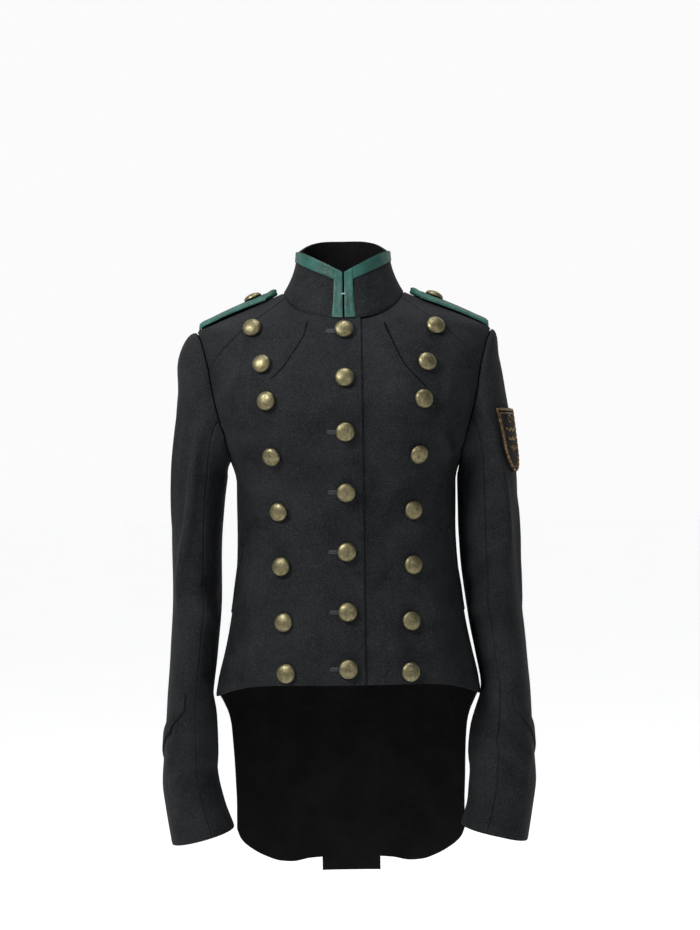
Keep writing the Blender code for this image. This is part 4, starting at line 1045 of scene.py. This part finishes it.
def armhole_loop():
    """The armhole once round, starting at the yoke seam in front; the last point repeats the first."""
    path = np.concatenate([ARM_YOKE, ARM_BACK[1:], ARM_SIDE_BACK[1:], ARM_FRONT[1:]])
    return form_point(path[:, 0], path[:, 1])


def sleeve_turns(loop):
    """Turn round the sleeve for each armhole point: 0 in front, a quarter at the outer side."""
    length = np.concatenate([[0], np.cumsum(np.linalg.norm(np.diff(loop, axis=0), axis=1))])
    tip = np.argmax(loop[:, 2])
    under = np.argmin(loop[:, 2])
    front_total = length[-1] - length[under] + length[tip]
    back_total = length[under] - length[tip]
    from_tip = np.where(length >= length[tip], length - length[tip], 0)
    turn = 0.25 + 0.5 * from_tip / back_total
    before = (length[tip] - length) / front_total
    turn = np.where(length < length[tip], 0.25 - 0.5 * before, turn)
    beyond = (length - length[under]) / front_total
    return np.where(length > length[under], 0.75 + 0.5 * beyond, turn)


def sleeve_ring_point(turn, z):
    """Point of the sleeve's tube: a rounded oval at a height, leaning down to its outer side."""
    angle = 2 * np.pi * np.asarray(turn, float)
    power = 2 / SLEEVE_POWER
    across = np.sign(np.sin(angle)) * np.abs(np.sin(angle)) ** power
    ahead = np.sign(np.cos(angle)) * np.abs(np.cos(angle)) ** power
    keys = column(SLEEVE_RING, 0)
    values = [smooth(keys, column(SLEEVE_RING, k), z) for k in range(1, 6)]
    x = values[0] + values[1] * across
    y = values[2] - values[3] * ahead
    return np.stack([x, y, z - values[4] / 2 * across], axis=-1)


def sleeve_grid():
    """Sleeve surface: a cap that rolls out of the armhole, then the rings down to the cuff."""
    loop = armhole_loop()
    turns = sleeve_turns(loop)
    heights = np.linspace(SLEEVE_RING[0][0], SLEEVE_RING[-1][0], TUBE_ROWS + 1)
    tube = np.stack([sleeve_ring_point(turns, np.full_like(turns, z)) for z in heights])
    rise = (loop[:, 2] - loop[:, 2].min()) / np.ptp(loop[:, 2])
    leave = np.stack([14 + 52 * rise, 0.35 * loop[:, 1], -16 + 34 * rise], axis=-1)
    arrive = np.stack([4 * rise, 0 * rise, -(24 + 120 * rise)], axis=-1)
    t = np.linspace(0, 1, CAP_ROWS + 1)[:-1, None, None]
    cap = (
        (2 * t**3 - 3 * t**2 + 1) * loop + (t**3 - 2 * t**2 + t) * leave
        + (3 * t**2 - 2 * t**3) * tube[0] + (t**3 - t**2) * arrive
    )
    return np.concatenate([cap, tube])


def outward_normals(grid):
    """Unit normals of the closed sleeve grid, turned away from its middle."""
    normal = grid_normals(grid)
    normal[:, 0] = normal[:, -1]
    middle = grid[-1].mean(axis=0)
    if ((normal[-1] * (grid[-1] - middle)).sum(axis=-1)).mean() < 0:
        normal = -normal
    return normal


SLEEVE_GRID = sleeve_grid()
SLEEVE_NORMAL = outward_normals(SLEEVE_GRID)


def height_table(grid):
    """The sleeve read at even turns and heights: one row per turn from 0 to 1, one column per height."""
    turns = sleeve_turns(armhole_loop())
    wrapped = np.where(turns > 1, turns - 1, turns)
    order = np.argsort(wrapped)
    heights = np.linspace(grid[..., 2].min(), grid[..., 2].max(), TABLE_HEIGHTS)
    lines = []
    for k in order:
        line = grid[:, k]
        up = np.argsort(line[:, 2])
        lines.append(np.stack([np.interp(heights, line[up, 2], line[up, axis]) for axis in range(3)], axis=-1))
    return wrapped[order], heights, np.stack(lines)


def sleeve_outer(table, turn, z):
    """Point on the whole sleeve, its cap included, at a turn and a height, read from its table."""
    turns, heights, points = table
    turn, z = np.broadcast_arrays(np.asarray(turn, float) % 1.0, np.asarray(z, float))
    place_u = np.interp(turn, turns, np.arange(len(turns)))
    place_v = np.interp(z, heights, np.arange(len(heights)))
    u = np.clip(place_u.astype(int), 0, len(turns) - 2)
    v = np.clip(place_v.astype(int), 0, len(heights) - 2)
    a, b = (place_u - u)[..., None], (place_v - v)[..., None]
    low = points[u, v] * (1 - a) + points[u + 1, v] * a
    high = points[u, v + 1] * (1 - a) + points[u + 1, v + 1] * a
    return low * (1 - b) + high * b


def sleeve_fold_lines(side):
    table = height_table(SLEEVE_GRID)
    lines = []
    for fold_side, half, rise, path in SLEEVE_FOLDS:
        if fold_side == side:
            lines.append((half, rise, sleeve_outer(table, column(path, 0), column(path, 1))))
    return lines


def sleeve_hang(side):
    """How far a sleeve moves in: its table read at each height, times the sine of the turn; 0 at the seam."""
    across = np.sin(2 * np.pi * sleeve_turns(SLEEVE_GRID[0]))
    keys = column(SLEEVE_HANG[side], 0)
    inner = smooth(keys, column(SLEEVE_HANG[side], 1), SLEEVE_GRID[..., 2])
    outer = smooth(keys, column(SLEEVE_HANG[side], 2), SLEEVE_GRID[..., 2])
    from_seam = np.clip(HANG_START * np.arange(len(SLEEVE_GRID))[:, None] / CAP_ROWS, 0, 1)
    return np.where(across < 0, -across * inner, across * outer) * from_seam


def worn_sleeve(side):
    """The sleeve grid of one side with its folds; at the armhole it follows the body's own cloth."""
    rise = fold_rise(SLEEVE_GRID, sleeve_fold_lines(side)) + unevenness(SLEEVE_GRID * [side, 1, 1], 0.6)
    row = np.arange(len(SLEEVE_GRID))[:, None]
    rise = rise * np.clip(row / CAP_ROWS, 0, 1) * np.clip((len(SLEEVE_GRID) - 1 - row) / FINE / 2, 0, 1)
    loop = SLEEVE_GRID[0]
    edge = form_normal(loop) * body_rise(mirror(loop, side))[:, None]
    fade = np.clip(1 - row / CAP_ROWS, 0, 1)[..., None]
    inward = sleeve_hang(side)[..., None] * [-1, 0, 0]
    return SLEEVE_GRID + SLEEVE_NORMAL * rise[..., None] + edge * fade + inward


WORN_SLEEVE = {side: worn_sleeve(side) for side in (-1, 1)}


def make_sleeves():
    """Two-piece sleeves: the under sleeve is the stretch below the two armhole notches."""
    last = SLEEVE_GRID.shape[1] - 1
    upper = np.concatenate([np.arange(UNDER_SLEEVE_END, last), np.arange(0, UNDER_SLEEVE_START + 1)])
    under = np.arange(UNDER_SLEEVE_START, UNDER_SLEEVE_END + 1)
    for piece, columns in (("upper_sleeve", upper), ("under_sleeve", under)):
        for name, side in (("right", -1), ("left", 1)):
            grid = edge_rows(WORN_SLEEVE[side][:, columns], "sewn")
            normal = edge_rows(SLEEVE_NORMAL[:, columns], "sewn")
            rolled = seam_sink(grid.shape[:2], "sew", SEAM_SINK) + seam_sink(grid.shape[:2], "n", EDGE_SINK)
            outer = draw_in(grid - normal * rolled[..., None], "nesw")
            full = f"{piece}_{name}"
            add_wall(full, mirror(outer, side), mirror(grid - normal * CLOTH, side), WOOL_CLOTH, "wool", full)


def sleeve_strip(side, turn, z, rise):
    """Points on the worn sleeve at turns and heights, moved out of the cloth by rise."""
    step = 0.004
    table = SLEEVE_TABLES[side]
    point = sleeve_outer(table, turn, z)
    round_it = sleeve_outer(table, turn + step, z) - sleeve_outer(table, turn - step, z)
    up = sleeve_outer(table, turn, z + 2) - sleeve_outer(table, turn, z - 2)
    normal = np.cross(round_it, up)
    normal = normal / np.linalg.norm(normal, axis=-1, keepdims=True)
    return point + normal * rise


SLEEVE_TABLES = {side: height_table(WORN_SLEEVE[side]) for side in (-1, 1)}


def collar_turns():
    """Turns for the collar: the shared neckline samples on both sides, open at the centre front."""
    half = NECK_TURNS.copy()
    half[0] = neck_turn(COLLAR_OPENING)
    return np.concatenate([half, 360 - half[-2::-1]])
def collar_point(turn, height):
    """Collar surface: from the neckline, curving in and up to its top edge; height runs 0 to 1."""
    turn, height = np.broadcast_arrays(np.asarray(turn, float), np.asarray(height, float))
    x, y = neck_plan(turn)
    base_z = form_top(x, y) + SEAM_GAP / 2
    angle = np.radians(turn)
    power = 2 / NECK_POWER
    top_x = COLLAR_TOP_HALF_WIDTH * np.sign(np.sin(angle)) * np.abs(np.sin(angle)) ** power
    top_y = COLLAR_TOP_CENTRE_Y - COLLAR_TOP_DEPTH * np.sign(np.cos(angle)) * np.abs(np.cos(angle)) ** power
    top_x = np.where(np.abs(np.sin(angle)) < 0.03, x, top_x)
    share = np.abs(top_x) / COLLAR_TOP_HALF_WIDTH
    front_z = COLLAR_TOP_FRONT + (COLLAR_TOP_SIDE - COLLAR_TOP_FRONT) * share
    back_z = COLLAR_TOP_BACK - (COLLAR_TOP_BACK - COLLAR_TOP_SIDE) * share**4
    top_z = np.where(np.cos(angle) > 0, front_z, back_z)
    lean = 1 - np.clip(1 - height, 0, 1) ** 1.9
    return np.stack([x + (top_x - x) * lean, y + (top_y - y) * lean, base_z + (top_z - base_z) * height], axis=-1)


def collar_normal(turn, height):
    """Outward normal of the collar from small differences."""
    across = collar_point(turn + 0.5, height) - collar_point(turn - 0.5, height)
    up = collar_point(turn, height + 0.01) - collar_point(turn, height - 0.01)
    normal = np.cross(across, up)
    return normal / np.linalg.norm(normal, axis=-1, keepdims=True)


def collar_strip(turns, heights, rise):
    turn, height = np.meshgrid(turns, heights)
    return collar_point(turn, height) + collar_normal(turn, height) * rise


def collar_height_share(width):
    return width / (COLLAR_TOP_FRONT + 42.5)


def epaulette_half_width(x):
    """Half width of the strap in plan: a pointed inner end, then a slow widening to the armhole."""
    body = EPAULETTE_HALF_INNER + (EPAULETTE_HALF_OUTER - EPAULETTE_HALF_INNER) * (
        (x - EPAULETTE_SHOULDER) / (EPAULETTE_END - EPAULETTE_SHOULDER)
    )
    point = EPAULETTE_HALF_INNER * (0.12 + 0.88 * (x - EPAULETTE_TIP) / (EPAULETTE_SHOULDER - EPAULETTE_TIP))
    return np.where(x < EPAULETTE_SHOULDER, point, body)


def strap_surface(x, share, rise):
    """Top of the shoulder under the strap, lifted by rise; share runs -1 to 1 across."""
    y = share * epaulette_half_width(x)
    crown = EPAULETTE_CROWN * (1 - np.minimum(np.abs(share), 1) ** 2)
    z = form_top(x, y)
    arch = 1.6 * np.sin(np.pi * np.clip((x - EPAULETTE_TIP) / (EPAULETTE_END - EPAULETTE_TIP), 0, 1))
    return np.stack([x, y, z + rise + arch + crown], axis=-1)


def shield_half_width(share):
    """Half width of a plain heater shield at a share 0 to 1 from its foot to its straight top."""
    return np.sin(np.pi / 2 * np.clip(share * 2.3, 0, 1)) ** 0.55


def edge_sunk(rows, cols, depth):
    """Sink for a trim's outer face, so that its four edges look rounded over."""
    u = np.abs(np.linspace(-1, 1, cols))[None, :]
    v = np.abs(np.linspace(-1, 1, rows))[:, None]
    return depth * np.maximum(np.clip((u - 1) * (cols - 1) / 2 + 1, 0, 1), np.clip((v - 1) * (rows - 1) / 2 + 1, 0, 1))


def pucker(turns, heights, size):
    """Small crosswise ripples of a sewn satin ribbon, a product of two sines."""
    turn, height = np.meshgrid(turns, heights)
    return size * (np.sin(turn * 1.9) * np.sin(height * 9 + turn * 0.35) + np.sin(turn * 0.73 + 1.0))


def make_collar():
    """Stand collar with a satin ribbon along its top edge and down both front edges."""
    turns = collar_turns()
    heights = np.linspace(-COLLAR_ROOT, 1, 25)
    wave = unevenness(collar_strip(turns, heights, 0), 0.35)
    body = collar_strip(turns, heights, 0) + (
        collar_normal(*np.meshgrid(turns, heights)) * (wave - edge_sunk(25, len(turns), 0.6))[..., None]
    )
    add_wall("collar", body, collar_strip(turns, heights, -COLLAR_WALL), WOOL_CLOTH, "wool", "collar")
    ribbon_low = 1 - collar_height_share(COLLAR_RIBBON)
    edge_turn = neck_turn(COLLAR_OPENING + COLLAR_RIBBON)
    long_turns = turns[(turns > edge_turn + 0.3) & (turns < 360 - edge_turn - 0.3)]
    long_turns = np.concatenate([[edge_turn + 0.3], long_turns, [360 - edge_turn - 0.3]])
    band = np.linspace(ribbon_low, 1.0, 9)
    normal = collar_normal(*np.meshgrid(long_turns, band))
    low = LIFT + 0.35
    rise = low + RIBBON_THICKNESS + pucker(long_turns, band, 0.12) - edge_sunk(9, len(long_turns), 0.35)
    outer = collar_strip(long_turns, band, 0) + normal * rise[..., None]
    add_wall("collar_ribbon_top", outer, collar_strip(long_turns, band, low), SATIN, "ribbon", "collar_ribbon_top")
    strip_turns = np.linspace(turns[0], edge_turn, 9)
    tall = np.linspace(0, 1, 33)
    normal = collar_normal(*np.meshgrid(strip_turns, tall))
    rise = low + RIBBON_THICKNESS + pucker(strip_turns, tall * 3, 0.12) - edge_sunk(33, 9, 0.35)
    outer = collar_strip(strip_turns, tall, 0) + normal * rise[..., None]
    inner = collar_strip(strip_turns, tall, low)
    for name, side in (("collar_ribbon_right", -1), ("collar_ribbon_left", 1)):
        add_wall(name, mirror(outer, side), mirror(inner, side), SATIN, "ribbon", name)


def tube(name, path, normal, radius, sides, material, slot, twist, *replaced):
    """A cord along a path: a ring of points round each path point, ribbed as a twist when asked.

    Ring radius is radius times (1 + twist cos(ring angle - path length / radius))."""
    ahead = np.gradient(path, axis=0)
    ahead = ahead / np.linalg.norm(ahead, axis=-1, keepdims=True)
    side = np.cross(ahead, normal)
    side = side / np.linalg.norm(side, axis=-1, keepdims=True)
    up = np.cross(side, ahead)
    length = np.concatenate([[0], np.cumsum(np.linalg.norm(np.diff(path, axis=0), axis=1))])
    turn = np.linspace(0, 2 * np.pi, sides, endpoint=False)
    girth_wave = radius * (1 + twist * np.cos(2 * turn[None, :] - length[:, None] / radius * 1.4))
    ring = side[:, None] * np.cos(turn)[None, :, None] + up[:, None] * np.sin(turn)[None, :, None]
    points = (path[:, None] + ring * girth_wave[..., None]).reshape(-1, 3)
    count = len(path)
    index = np.arange(count * sides).reshape(count, sides)
    after = np.roll(index, -1, axis=1)
    faces = np.stack([index[:-1], after[:-1], after[1:], index[1:]], axis=-1).reshape(-1, 4).tolist()
    faces += [index[0].tolist(), index[-1, ::-1].tolist()]
    cut = np.stack(np.broadcast_arrays(length[:, None], turn[None, :] * radius), axis=-1).reshape(-1, 2)
    return place(add_mesh(name, points, faces, cut, material), slot, *replaced)


def make_hook():
    """Small steel bar of the collar's hook, across the opening."""
    middle = collar_point(neck_turn(COLLAR_OPENING), HOOK_HEIGHT)
    centre = middle * [0, 1, 1] - [0, LIFT + RIBBON_THICKNESS + LIFT + HOOK_RADIUS, 0]
    x = np.linspace(-HOOK_LENGTH / 2, HOOK_LENGTH / 2, 13)
    path = centre + np.stack([x, 0.08 * x**2, 0 * x], axis=-1)
    tube("collar_hook", path, np.array([0, -1.0, 0]), HOOK_RADIUS, 12, HOOK_STEEL, "steel", 0.0, "collar_hook")


def make_epaulettes():
    """Shoulder straps with a satin ribbon sewn along both sides and round the pointed inner end."""
    xs = np.concatenate([np.linspace(EPAULETTE_TIP, EPAULETTE_SHOULDER, 9), np.linspace(96, EPAULETTE_END, 41)[1:]])
    x, share = np.meshgrid(xs, np.linspace(-1, 1, 25))
    under = strap_surface(x, share, EPAULETTE_LIFT)
    top = strap_surface(x, share, EPAULETTE_LIFT + EPAULETTE_THICKNESS) - [0, 0, 1] * (
        edge_sunk(25, len(xs), 0.7)[..., None]
    )
    outer_x = np.concatenate([[EPAULETTE_TIP, EPAULETTE_TIP + 7], np.linspace(96, EPAULETTE_END, 7)])
    inner_x = np.concatenate([[EPAULETTE_TIP + 7, EPAULETTE_TIP + 10], np.linspace(98, EPAULETTE_END, 7)])
    inner_half = np.maximum(epaulette_half_width(inner_x) - EPAULETTE_RIBBON, 1.0)
    inner_half[0] = 1.0
    marks = np.linspace(0, 8, 65)
    lines = []
    for line_x, half in ((inner_x, inner_half), (outer_x, epaulette_half_width(outer_x))):
        line = np.stack([np.interp(marks, np.arange(9), line_x), -np.interp(marks, np.arange(9), half)], axis=-1)
        lines.append(np.concatenate([line[::-1], line * [1, -1]]))
    across = np.linspace(0, 1, 7)[:, None, None]
    plan = lines[0] * (1 - across) + lines[1] * across
    share = plan[..., 1] / epaulette_half_width(plan[..., 0])
    low = EPAULETTE_LIFT + EPAULETTE_THICKNESS + LIFT + EPAULETTE_RIBBON_SLACK
    base = strap_surface(plan[..., 0], share, low)
    rise = RIBBON_THICKNESS + 0.1 * np.sin(np.arange(plan.shape[1]) * 0.9)
    band = base + np.array([0, 0, 1.0]) * (rise + 0 * share)[..., None]
    outward = np.pad(lines[1] - lines[0], ((0, 0), (0, 1)))
    outward = outward / np.linalg.norm(outward, axis=-1, keepdims=True)
    turned = [(1.0, -0.6), (1.1, -1.6), (1.0, EPAULETTE_WRAP)]
    band = np.concatenate([band, np.stack([base[-1] + outward * out + [0, 0, down] for out, down in turned])])
    base = np.concatenate([base, np.stack([base[-1] + outward * (out - 0.6) + [0, 0, down] for out, down in turned])])
    for name, side in (("right", -1), ("left", 1)):
        strap = "epaulette_" + name
        ribbon = "epaulette_ribbon_" + name
        add_wall(strap, mirror(top, side), mirror(under, side), WOOL_CLOTH, "wool", strap)
        add_wall(ribbon, mirror(band, side), mirror(base, side), SATIN, "ribbon", ribbon)


def body_strip(side, angle, z, rise):
    """Points on the worn body cloth at angles and heights, moved out by rise."""
    base = form_point(angle, z)
    points = mirror(base, side)
    normal = mirror(form_normal(base), side)
    return points + normal * np.asarray(body_rise(points) + rise)[..., None]


def make_pocket_welts():
    """Slanted welts at the sides, near the waist."""
    share = np.linspace(0, 1, 57)
    angle = POCKET_START[0] + (POCKET_END[0] - POCKET_START[0]) * share
    z = POCKET_START[1] + (POCKET_END[1] - POCKET_START[1]) * share
    line = form_point(angle, z)
    wide = 0.5 * POCKET_WIDTH / np.linalg.norm(form_point(angle + 0.5, z) - line, axis=-1)
    across = np.linspace(0, 1, 9)[:, None]
    rows = angle + wide * across
    heights = z + 0 * across
    rise = POCKET_RISE - edge_sunk(9, 57, 0.7)
    for name, side in (("right", -1), ("left", 1)):
        welt = "pocket_welt_" + name
        add_wall(
            welt, body_strip(side, rows, heights, rise), body_strip(side, rows, heights, WELT_ROOT), WOOL_CLOTH,
            "wool", welt,
        )


def make_forearm_welts():
    """Slanted welts round the outside of each forearm, lower towards the back."""
    share = np.linspace(0, 1, 73)
    turn = FOREARM_START[0] + (FOREARM_END[0] - FOREARM_START[0]) * share
    z = FOREARM_START[1] + (FOREARM_END[1] - FOREARM_START[1]) * share
    across = np.linspace(0, 1, 13)[:, None]
    turns = turn + 0 * across
    heights = z - FOREARM_WIDTH * across
    low = LIFT + 0.6
    rise = (low + WELT_THICKNESS - edge_sunk(13, 73, 0.8))[..., None]
    for name, side in (("right", -1), ("left", 1)):
        welt = "forearm_welt_" + name
        outer = sleeve_strip(side, turns, heights, rise)
        inner = sleeve_strip(side, turns, heights, WELT_ROOT)
        add_wall(welt, mirror(outer, side), mirror(inner, side), WOOL_CLOTH, "wool", welt)


def patch_surface(share, across, inset, rise):
    """Points of the shield on the sleeve: share 0 to 1 from foot to top, across -1 to 1, drawn in by inset."""
    height = PATCH_HALF_HEIGHT - inset
    half = (PATCH_HALF_WIDTH - inset) * shield_half_width(share)
    z = PATCH_HEIGHT - height + 2 * height * share
    turn = PATCH_TURN + half * across / SLEEVE_GIRTH
    return sleeve_strip(1, *np.broadcast_arrays(turn, z), rise)


def make_patch():
    """Heater shield of felt with a border cord and a plain motif of wavy bars in bullion wire."""
    share = 0.004 + 0.996 * np.linspace(0, 1, 49)[:, None] ** 1.6
    across = np.linspace(-1, 1, 41)[None, :]
    low = LIFT + 0.9
    rise = (low + PATCH_THICKNESS - edge_sunk(49, 41, 0.6))[..., None]
    add_wall(
        "patch", patch_surface(share, across, 0, rise), patch_surface(share, across, 0, low), FELT, "wool", "patch",
    )
    top = low + PATCH_THICKNESS
    up = np.linspace(0, 1, 90) ** 2
    over = np.linspace(1, -1, 40)[1:-1]
    outline_share = np.concatenate([up, np.ones(38), up[::-1]])
    outline_across = np.concatenate([np.ones(90), over, -np.ones(90)])
    inset = 1.0 + PATCH_BORDER / 2
    path = patch_surface(outline_share, outline_across, inset, top + 1.0)
    normal = path - patch_surface(outline_share, outline_across, inset, top)
    tube("patch_border", path, normal, 1.5, 14, BULLION, "bullion", 0.16, "patch_border")
    path = patch_surface(outline_share, outline_across, inset + 4.2, top + 0.5)
    tube("patch_inner_cord", path, normal, 0.8, 10, BULLION, "bullion", 0.2)
    lines = []
    for level, width in ((0.38, 0.34), (0.52, 0.5), (0.66, 0.56)):
        lines.append((np.full(60, level), np.linspace(-width, width, 60)))
    for k, (level, side_share) in enumerate(lines, start=1):
        wave = level + 0.018 * np.sin(np.linspace(0, 5 * np.pi, 60))
        path = patch_surface(wave, side_share, 0, top + 0.7)
        normal = path - patch_surface(wave, side_share, 0, top)
        tube(f"patch_bar_{k}", path, normal, 1.25, 12, BULLION, "bullion", 0.2)
    ring = np.linspace(0, 2 * np.pi, 49)
    path = patch_surface(0.83 + 0.05 * np.sin(ring), 0.16 * np.cos(ring), 0, top + 0.6)
    tube("patch_ring", path, np.array([0.7, -0.7, 0.0]), 1.0, 10, BULLION, "bullion", 0.2)


def add_button(name, base, normal):
    """A domed button on its shank: a profile turned round the cloth's normal, with a faint roped ripple on a few rings
    of its dome.
    """
    normal = normal / np.linalg.norm(normal)
    side = np.cross(normal, [0.0, 0.0, 1.0])
    side = side / np.linalg.norm(side)
    up = np.cross(side, normal)
    turn = np.linspace(0, 2 * np.pi, BUTTON_COLUMNS, endpoint=False)
    ring = np.cos(turn)[:, None] * side + np.sin(turn)[:, None] * up
    dome = np.linspace(1.0, 0.04, 18)
    radius = np.concatenate([column(BUTTON_RIM, 0), BUTTON_DOME * np.sin(dome * np.pi / 2)])
    height = np.concatenate([
        column(BUTTON_RIM, 1), BUTTON_RIM_HEIGHT + (BUTTON_TOP - BUTTON_RIM_HEIGHT) * np.cos(dome * np.pi / 2),
    ])
    rope = np.concatenate([column(BUTTON_RIM, 2), 0.12 * (np.sin(dome * 9) > 0.9)])
    level = height[:, None] + rope[:, None] * np.cos(28 * turn)[None, :]
    points = base + normal * (BUTTON_SEAT + level[..., None]) + ring[None] * radius[:, None, None]
    count, n = points.shape[:2]
    index = np.arange(count * n).reshape(count, n)
    after = np.roll(index, -1, axis=1)
    faces = np.stack([index[:-1], after[:-1], after[1:], index[1:]], axis=-1).reshape(-1, 4).tolist()
    faces += [index[0].tolist(), index[-1, ::-1].tolist()]
    cut = np.stack(np.broadcast_arrays(radius[:, None], turn[None, :]), axis=-1).reshape(-1, 2)
    place(add_mesh(name, points.reshape(-1, 3), faces, cut, BUTTON_BRASS, 60.0), "brass", name)


def make_buttons():
    for row, z in enumerate(CENTRE_BUTTONS, start=1):
        point = body_strip(-1, angle_at(0.001, z), z, TOP_BUTTON_LIFT if row == 1 else CENTRE_BUTTON_LIFT)
        add_button(f"button_centre_{row}", point, form_normal(form_point(0.0, z)))
    for name, side in (("right", -1), ("left", 1)):
        for row, (x, z) in enumerate(SIDE_BUTTONS, start=1):
            seat = form_point(angle_at(x, z), z)
            point = body_strip(side, angle_at(x, z), z, 0.0)
            add_button(f"button_{name}_{row}", point, mirror(form_normal(seat), side))
        x = EPAULETTE_BUTTON_X
        top = strap_surface(np.array([x - 1.0, x, x + 1.0]), np.zeros(3), EPAULETTE_LIFT + EPAULETTE_THICKNESS - EPAULETTE_BUTTON_DROP)
        slope = top[2] - top[0]
        normal = np.array([-slope[2], 0.0, slope[0]])
        add_button("button_epaulette_" + name, mirror(top[1], side), mirror(normal, side))


def make_buttonholes():
    """Worked buttonholes beside the centre buttons: an oval of close stitches round a slit."""
    share = np.linspace(-1, 1, 41)
    across = np.linspace(-1, 1, 17)
    for row in BUTTONHOLE_ROWS:
        z = CENTRE_BUTTONS[row - 1]
        half = HOLE_HALF_HEIGHT * (1 - share**6) ** 0.5 + 0.15
        angle = angle_at(HOLE_MIDDLE + HOLE_HALF_LENGTH * share, z + 0 * share)
        height = z + half * across[:, None]
        angles = angle + 0 * across[:, None]
        ridge = np.where(np.abs(across) < 0.2, 0.12, 0.75 * np.sqrt(np.maximum(1 - across**2, 0)) + 0.1)[:, None]
        stitch = ridge * (1 + 0.14 * np.cos(share * 46))
        outer = body_strip(-1, angles, height, 0.1 + stitch)
        inner = body_strip(-1, angles, height, 0.05)
        add_wall(f"buttonhole_{row}", outer, inner, HOLE_THREAD, "wool")


def make_dart_seams():
    """The pressed line of each neck dart, from under the collar out over the chest: the real dart line as a near-black
    strip, with the shade of its crease painted on.
    """
    for name, side, path in (("dart_right", -1, DART_RIGHT), ("dart_left", 1, DART_LEFT)):
        x, z = column(path, 0), column(path, 1)
        marks = np.linspace(0, len(x) - 1, 61)
        x = smooth(np.arange(len(x)), x, marks)
        z = smooth(np.arange(len(z)), z, marks)
        angle = angle_at(x, z)
        offset = np.linspace(-0.7, 0.7, 5)[:, None]
        flat = np.stack([x, z], axis=-1)
        ahead = np.gradient(flat, axis=0)
        ahead = ahead / np.linalg.norm(ahead, axis=-1, keepdims=True)
        wide_x = x - ahead[:, 1] * offset
        wide_z = z + ahead[:, 0] * offset
        angle = angle_at(wide_x, wide_z)
        outer = body_strip(side, angle, wide_z, 0.45)
        inner = body_strip(side, angle, wide_z, -0.6)
        add_wall(name, outer, inner, DART_CREASE_SHADE, "wool")


def make_studio():
    """Plain pale floor, and soft lamps from the front and above."""
    material, tree, shader = new_material(
        "pale_studio_paper", Roughness=0.9, Emission_Color=linear("ffffff"), Emission_Strength=FLOOR_GLOW,
    )
    place_in = node(tree, "ShaderNodeTexCoord").outputs["Object"]
    tone = node(tree, "ShaderNodeTexNoise", Vector=place_in, Scale=3.0, Detail=4.0).outputs["Fac"]
    colour = ramp(tree, tone, (0.2, linear("f3f3f3")), (0.8, linear("f8f8f8")))
    tree.links.new(colour, shader.inputs["Base Color"])
    y = np.linspace(-FLOOR_HALF, FLOOR_HALF, 25)
    z = np.full_like(y, FLOOR_HEIGHT)
    x = np.linspace(-FLOOR_HALF, FLOOR_HALF, 25)
    grid = np.stack(np.broadcast_arrays(x[None, :], y[:, None], z[:, None]), axis=-1)
    rows, cols = grid.shape[:2]
    index = np.arange(rows * cols).reshape(rows, cols)
    faces = np.stack([index[:-1, :-1], index[:-1, 1:], index[1:, 1:], index[1:, :-1]], axis=-1).reshape(-1, 4)
    floor = add_mesh(
        "studio_floor", grid.reshape(-1, 3), faces.tolist(), grid_lengths(grid).reshape(-1, 2), material, closed=False,
    )
    for name, spot, size, power in LAMPS:
        lamp = bpy.data.lights.new(name, "AREA")
        lamp.shape = "SQUARE"
        lamp.size = size * MM
        lamp.energy = power
        made = bpy.data.objects.new(name, lamp)
        made.location = np.array(spot) * MM
        aim = Vector(LAMP_AIM) * MM - made.location
        made.rotation_euler = aim.to_track_quat("-Z", "Y").to_euler()
        bpy.context.scene.collection.objects.link(made)
    world = bpy.data.worlds.new("studio")
    world.use_nodes = True
    background = world.node_tree.nodes["Background"]
    sky = world.node_tree
    direction = node(sky, "ShaderNodeTexCoord").outputs["Generated"]
    depth = node(sky, "ShaderNodeSeparateXYZ", Vector=direction).outputs["Y"]
    shade = ramp(sky, depth, (0.0, linear(ROOM_SHADE)), (0.35, linear("fbfbfb")))
    sky.links.new(shade, background.inputs["Color"])
    background.inputs["Strength"].default_value = WORLD_STRENGTH
    bpy.context.scene.world = world
    bpy.context.scene.view_settings.view_transform = "Standard"


def make_camera():
    """Level camera in front, at the photograph's distance, height and slight roll."""
    lens = bpy.data.cameras.new("photo_camera")
    lens.lens = CAMERA_LENS
    camera = bpy.data.objects.new("photo_camera", lens)
    camera.location = np.array([CAMERA_SIDE, -CAMERA_DISTANCE, CAMERA_HEIGHT]) * MM
    camera.rotation_euler = (math.radians(90), math.radians(CAMERA_ROLL), 0)
    bpy.context.scene.collection.objects.link(camera)
    bpy.context.scene.camera = camera


make_fronts()
make_yokes()
make_back()
make_sleeves()
make_collar()
make_hook()
make_epaulettes()
make_pocket_welts()
make_forearm_welts()
make_patch()
make_buttons()
make_buttonholes()
make_dart_seams()
make_studio()
make_camera()
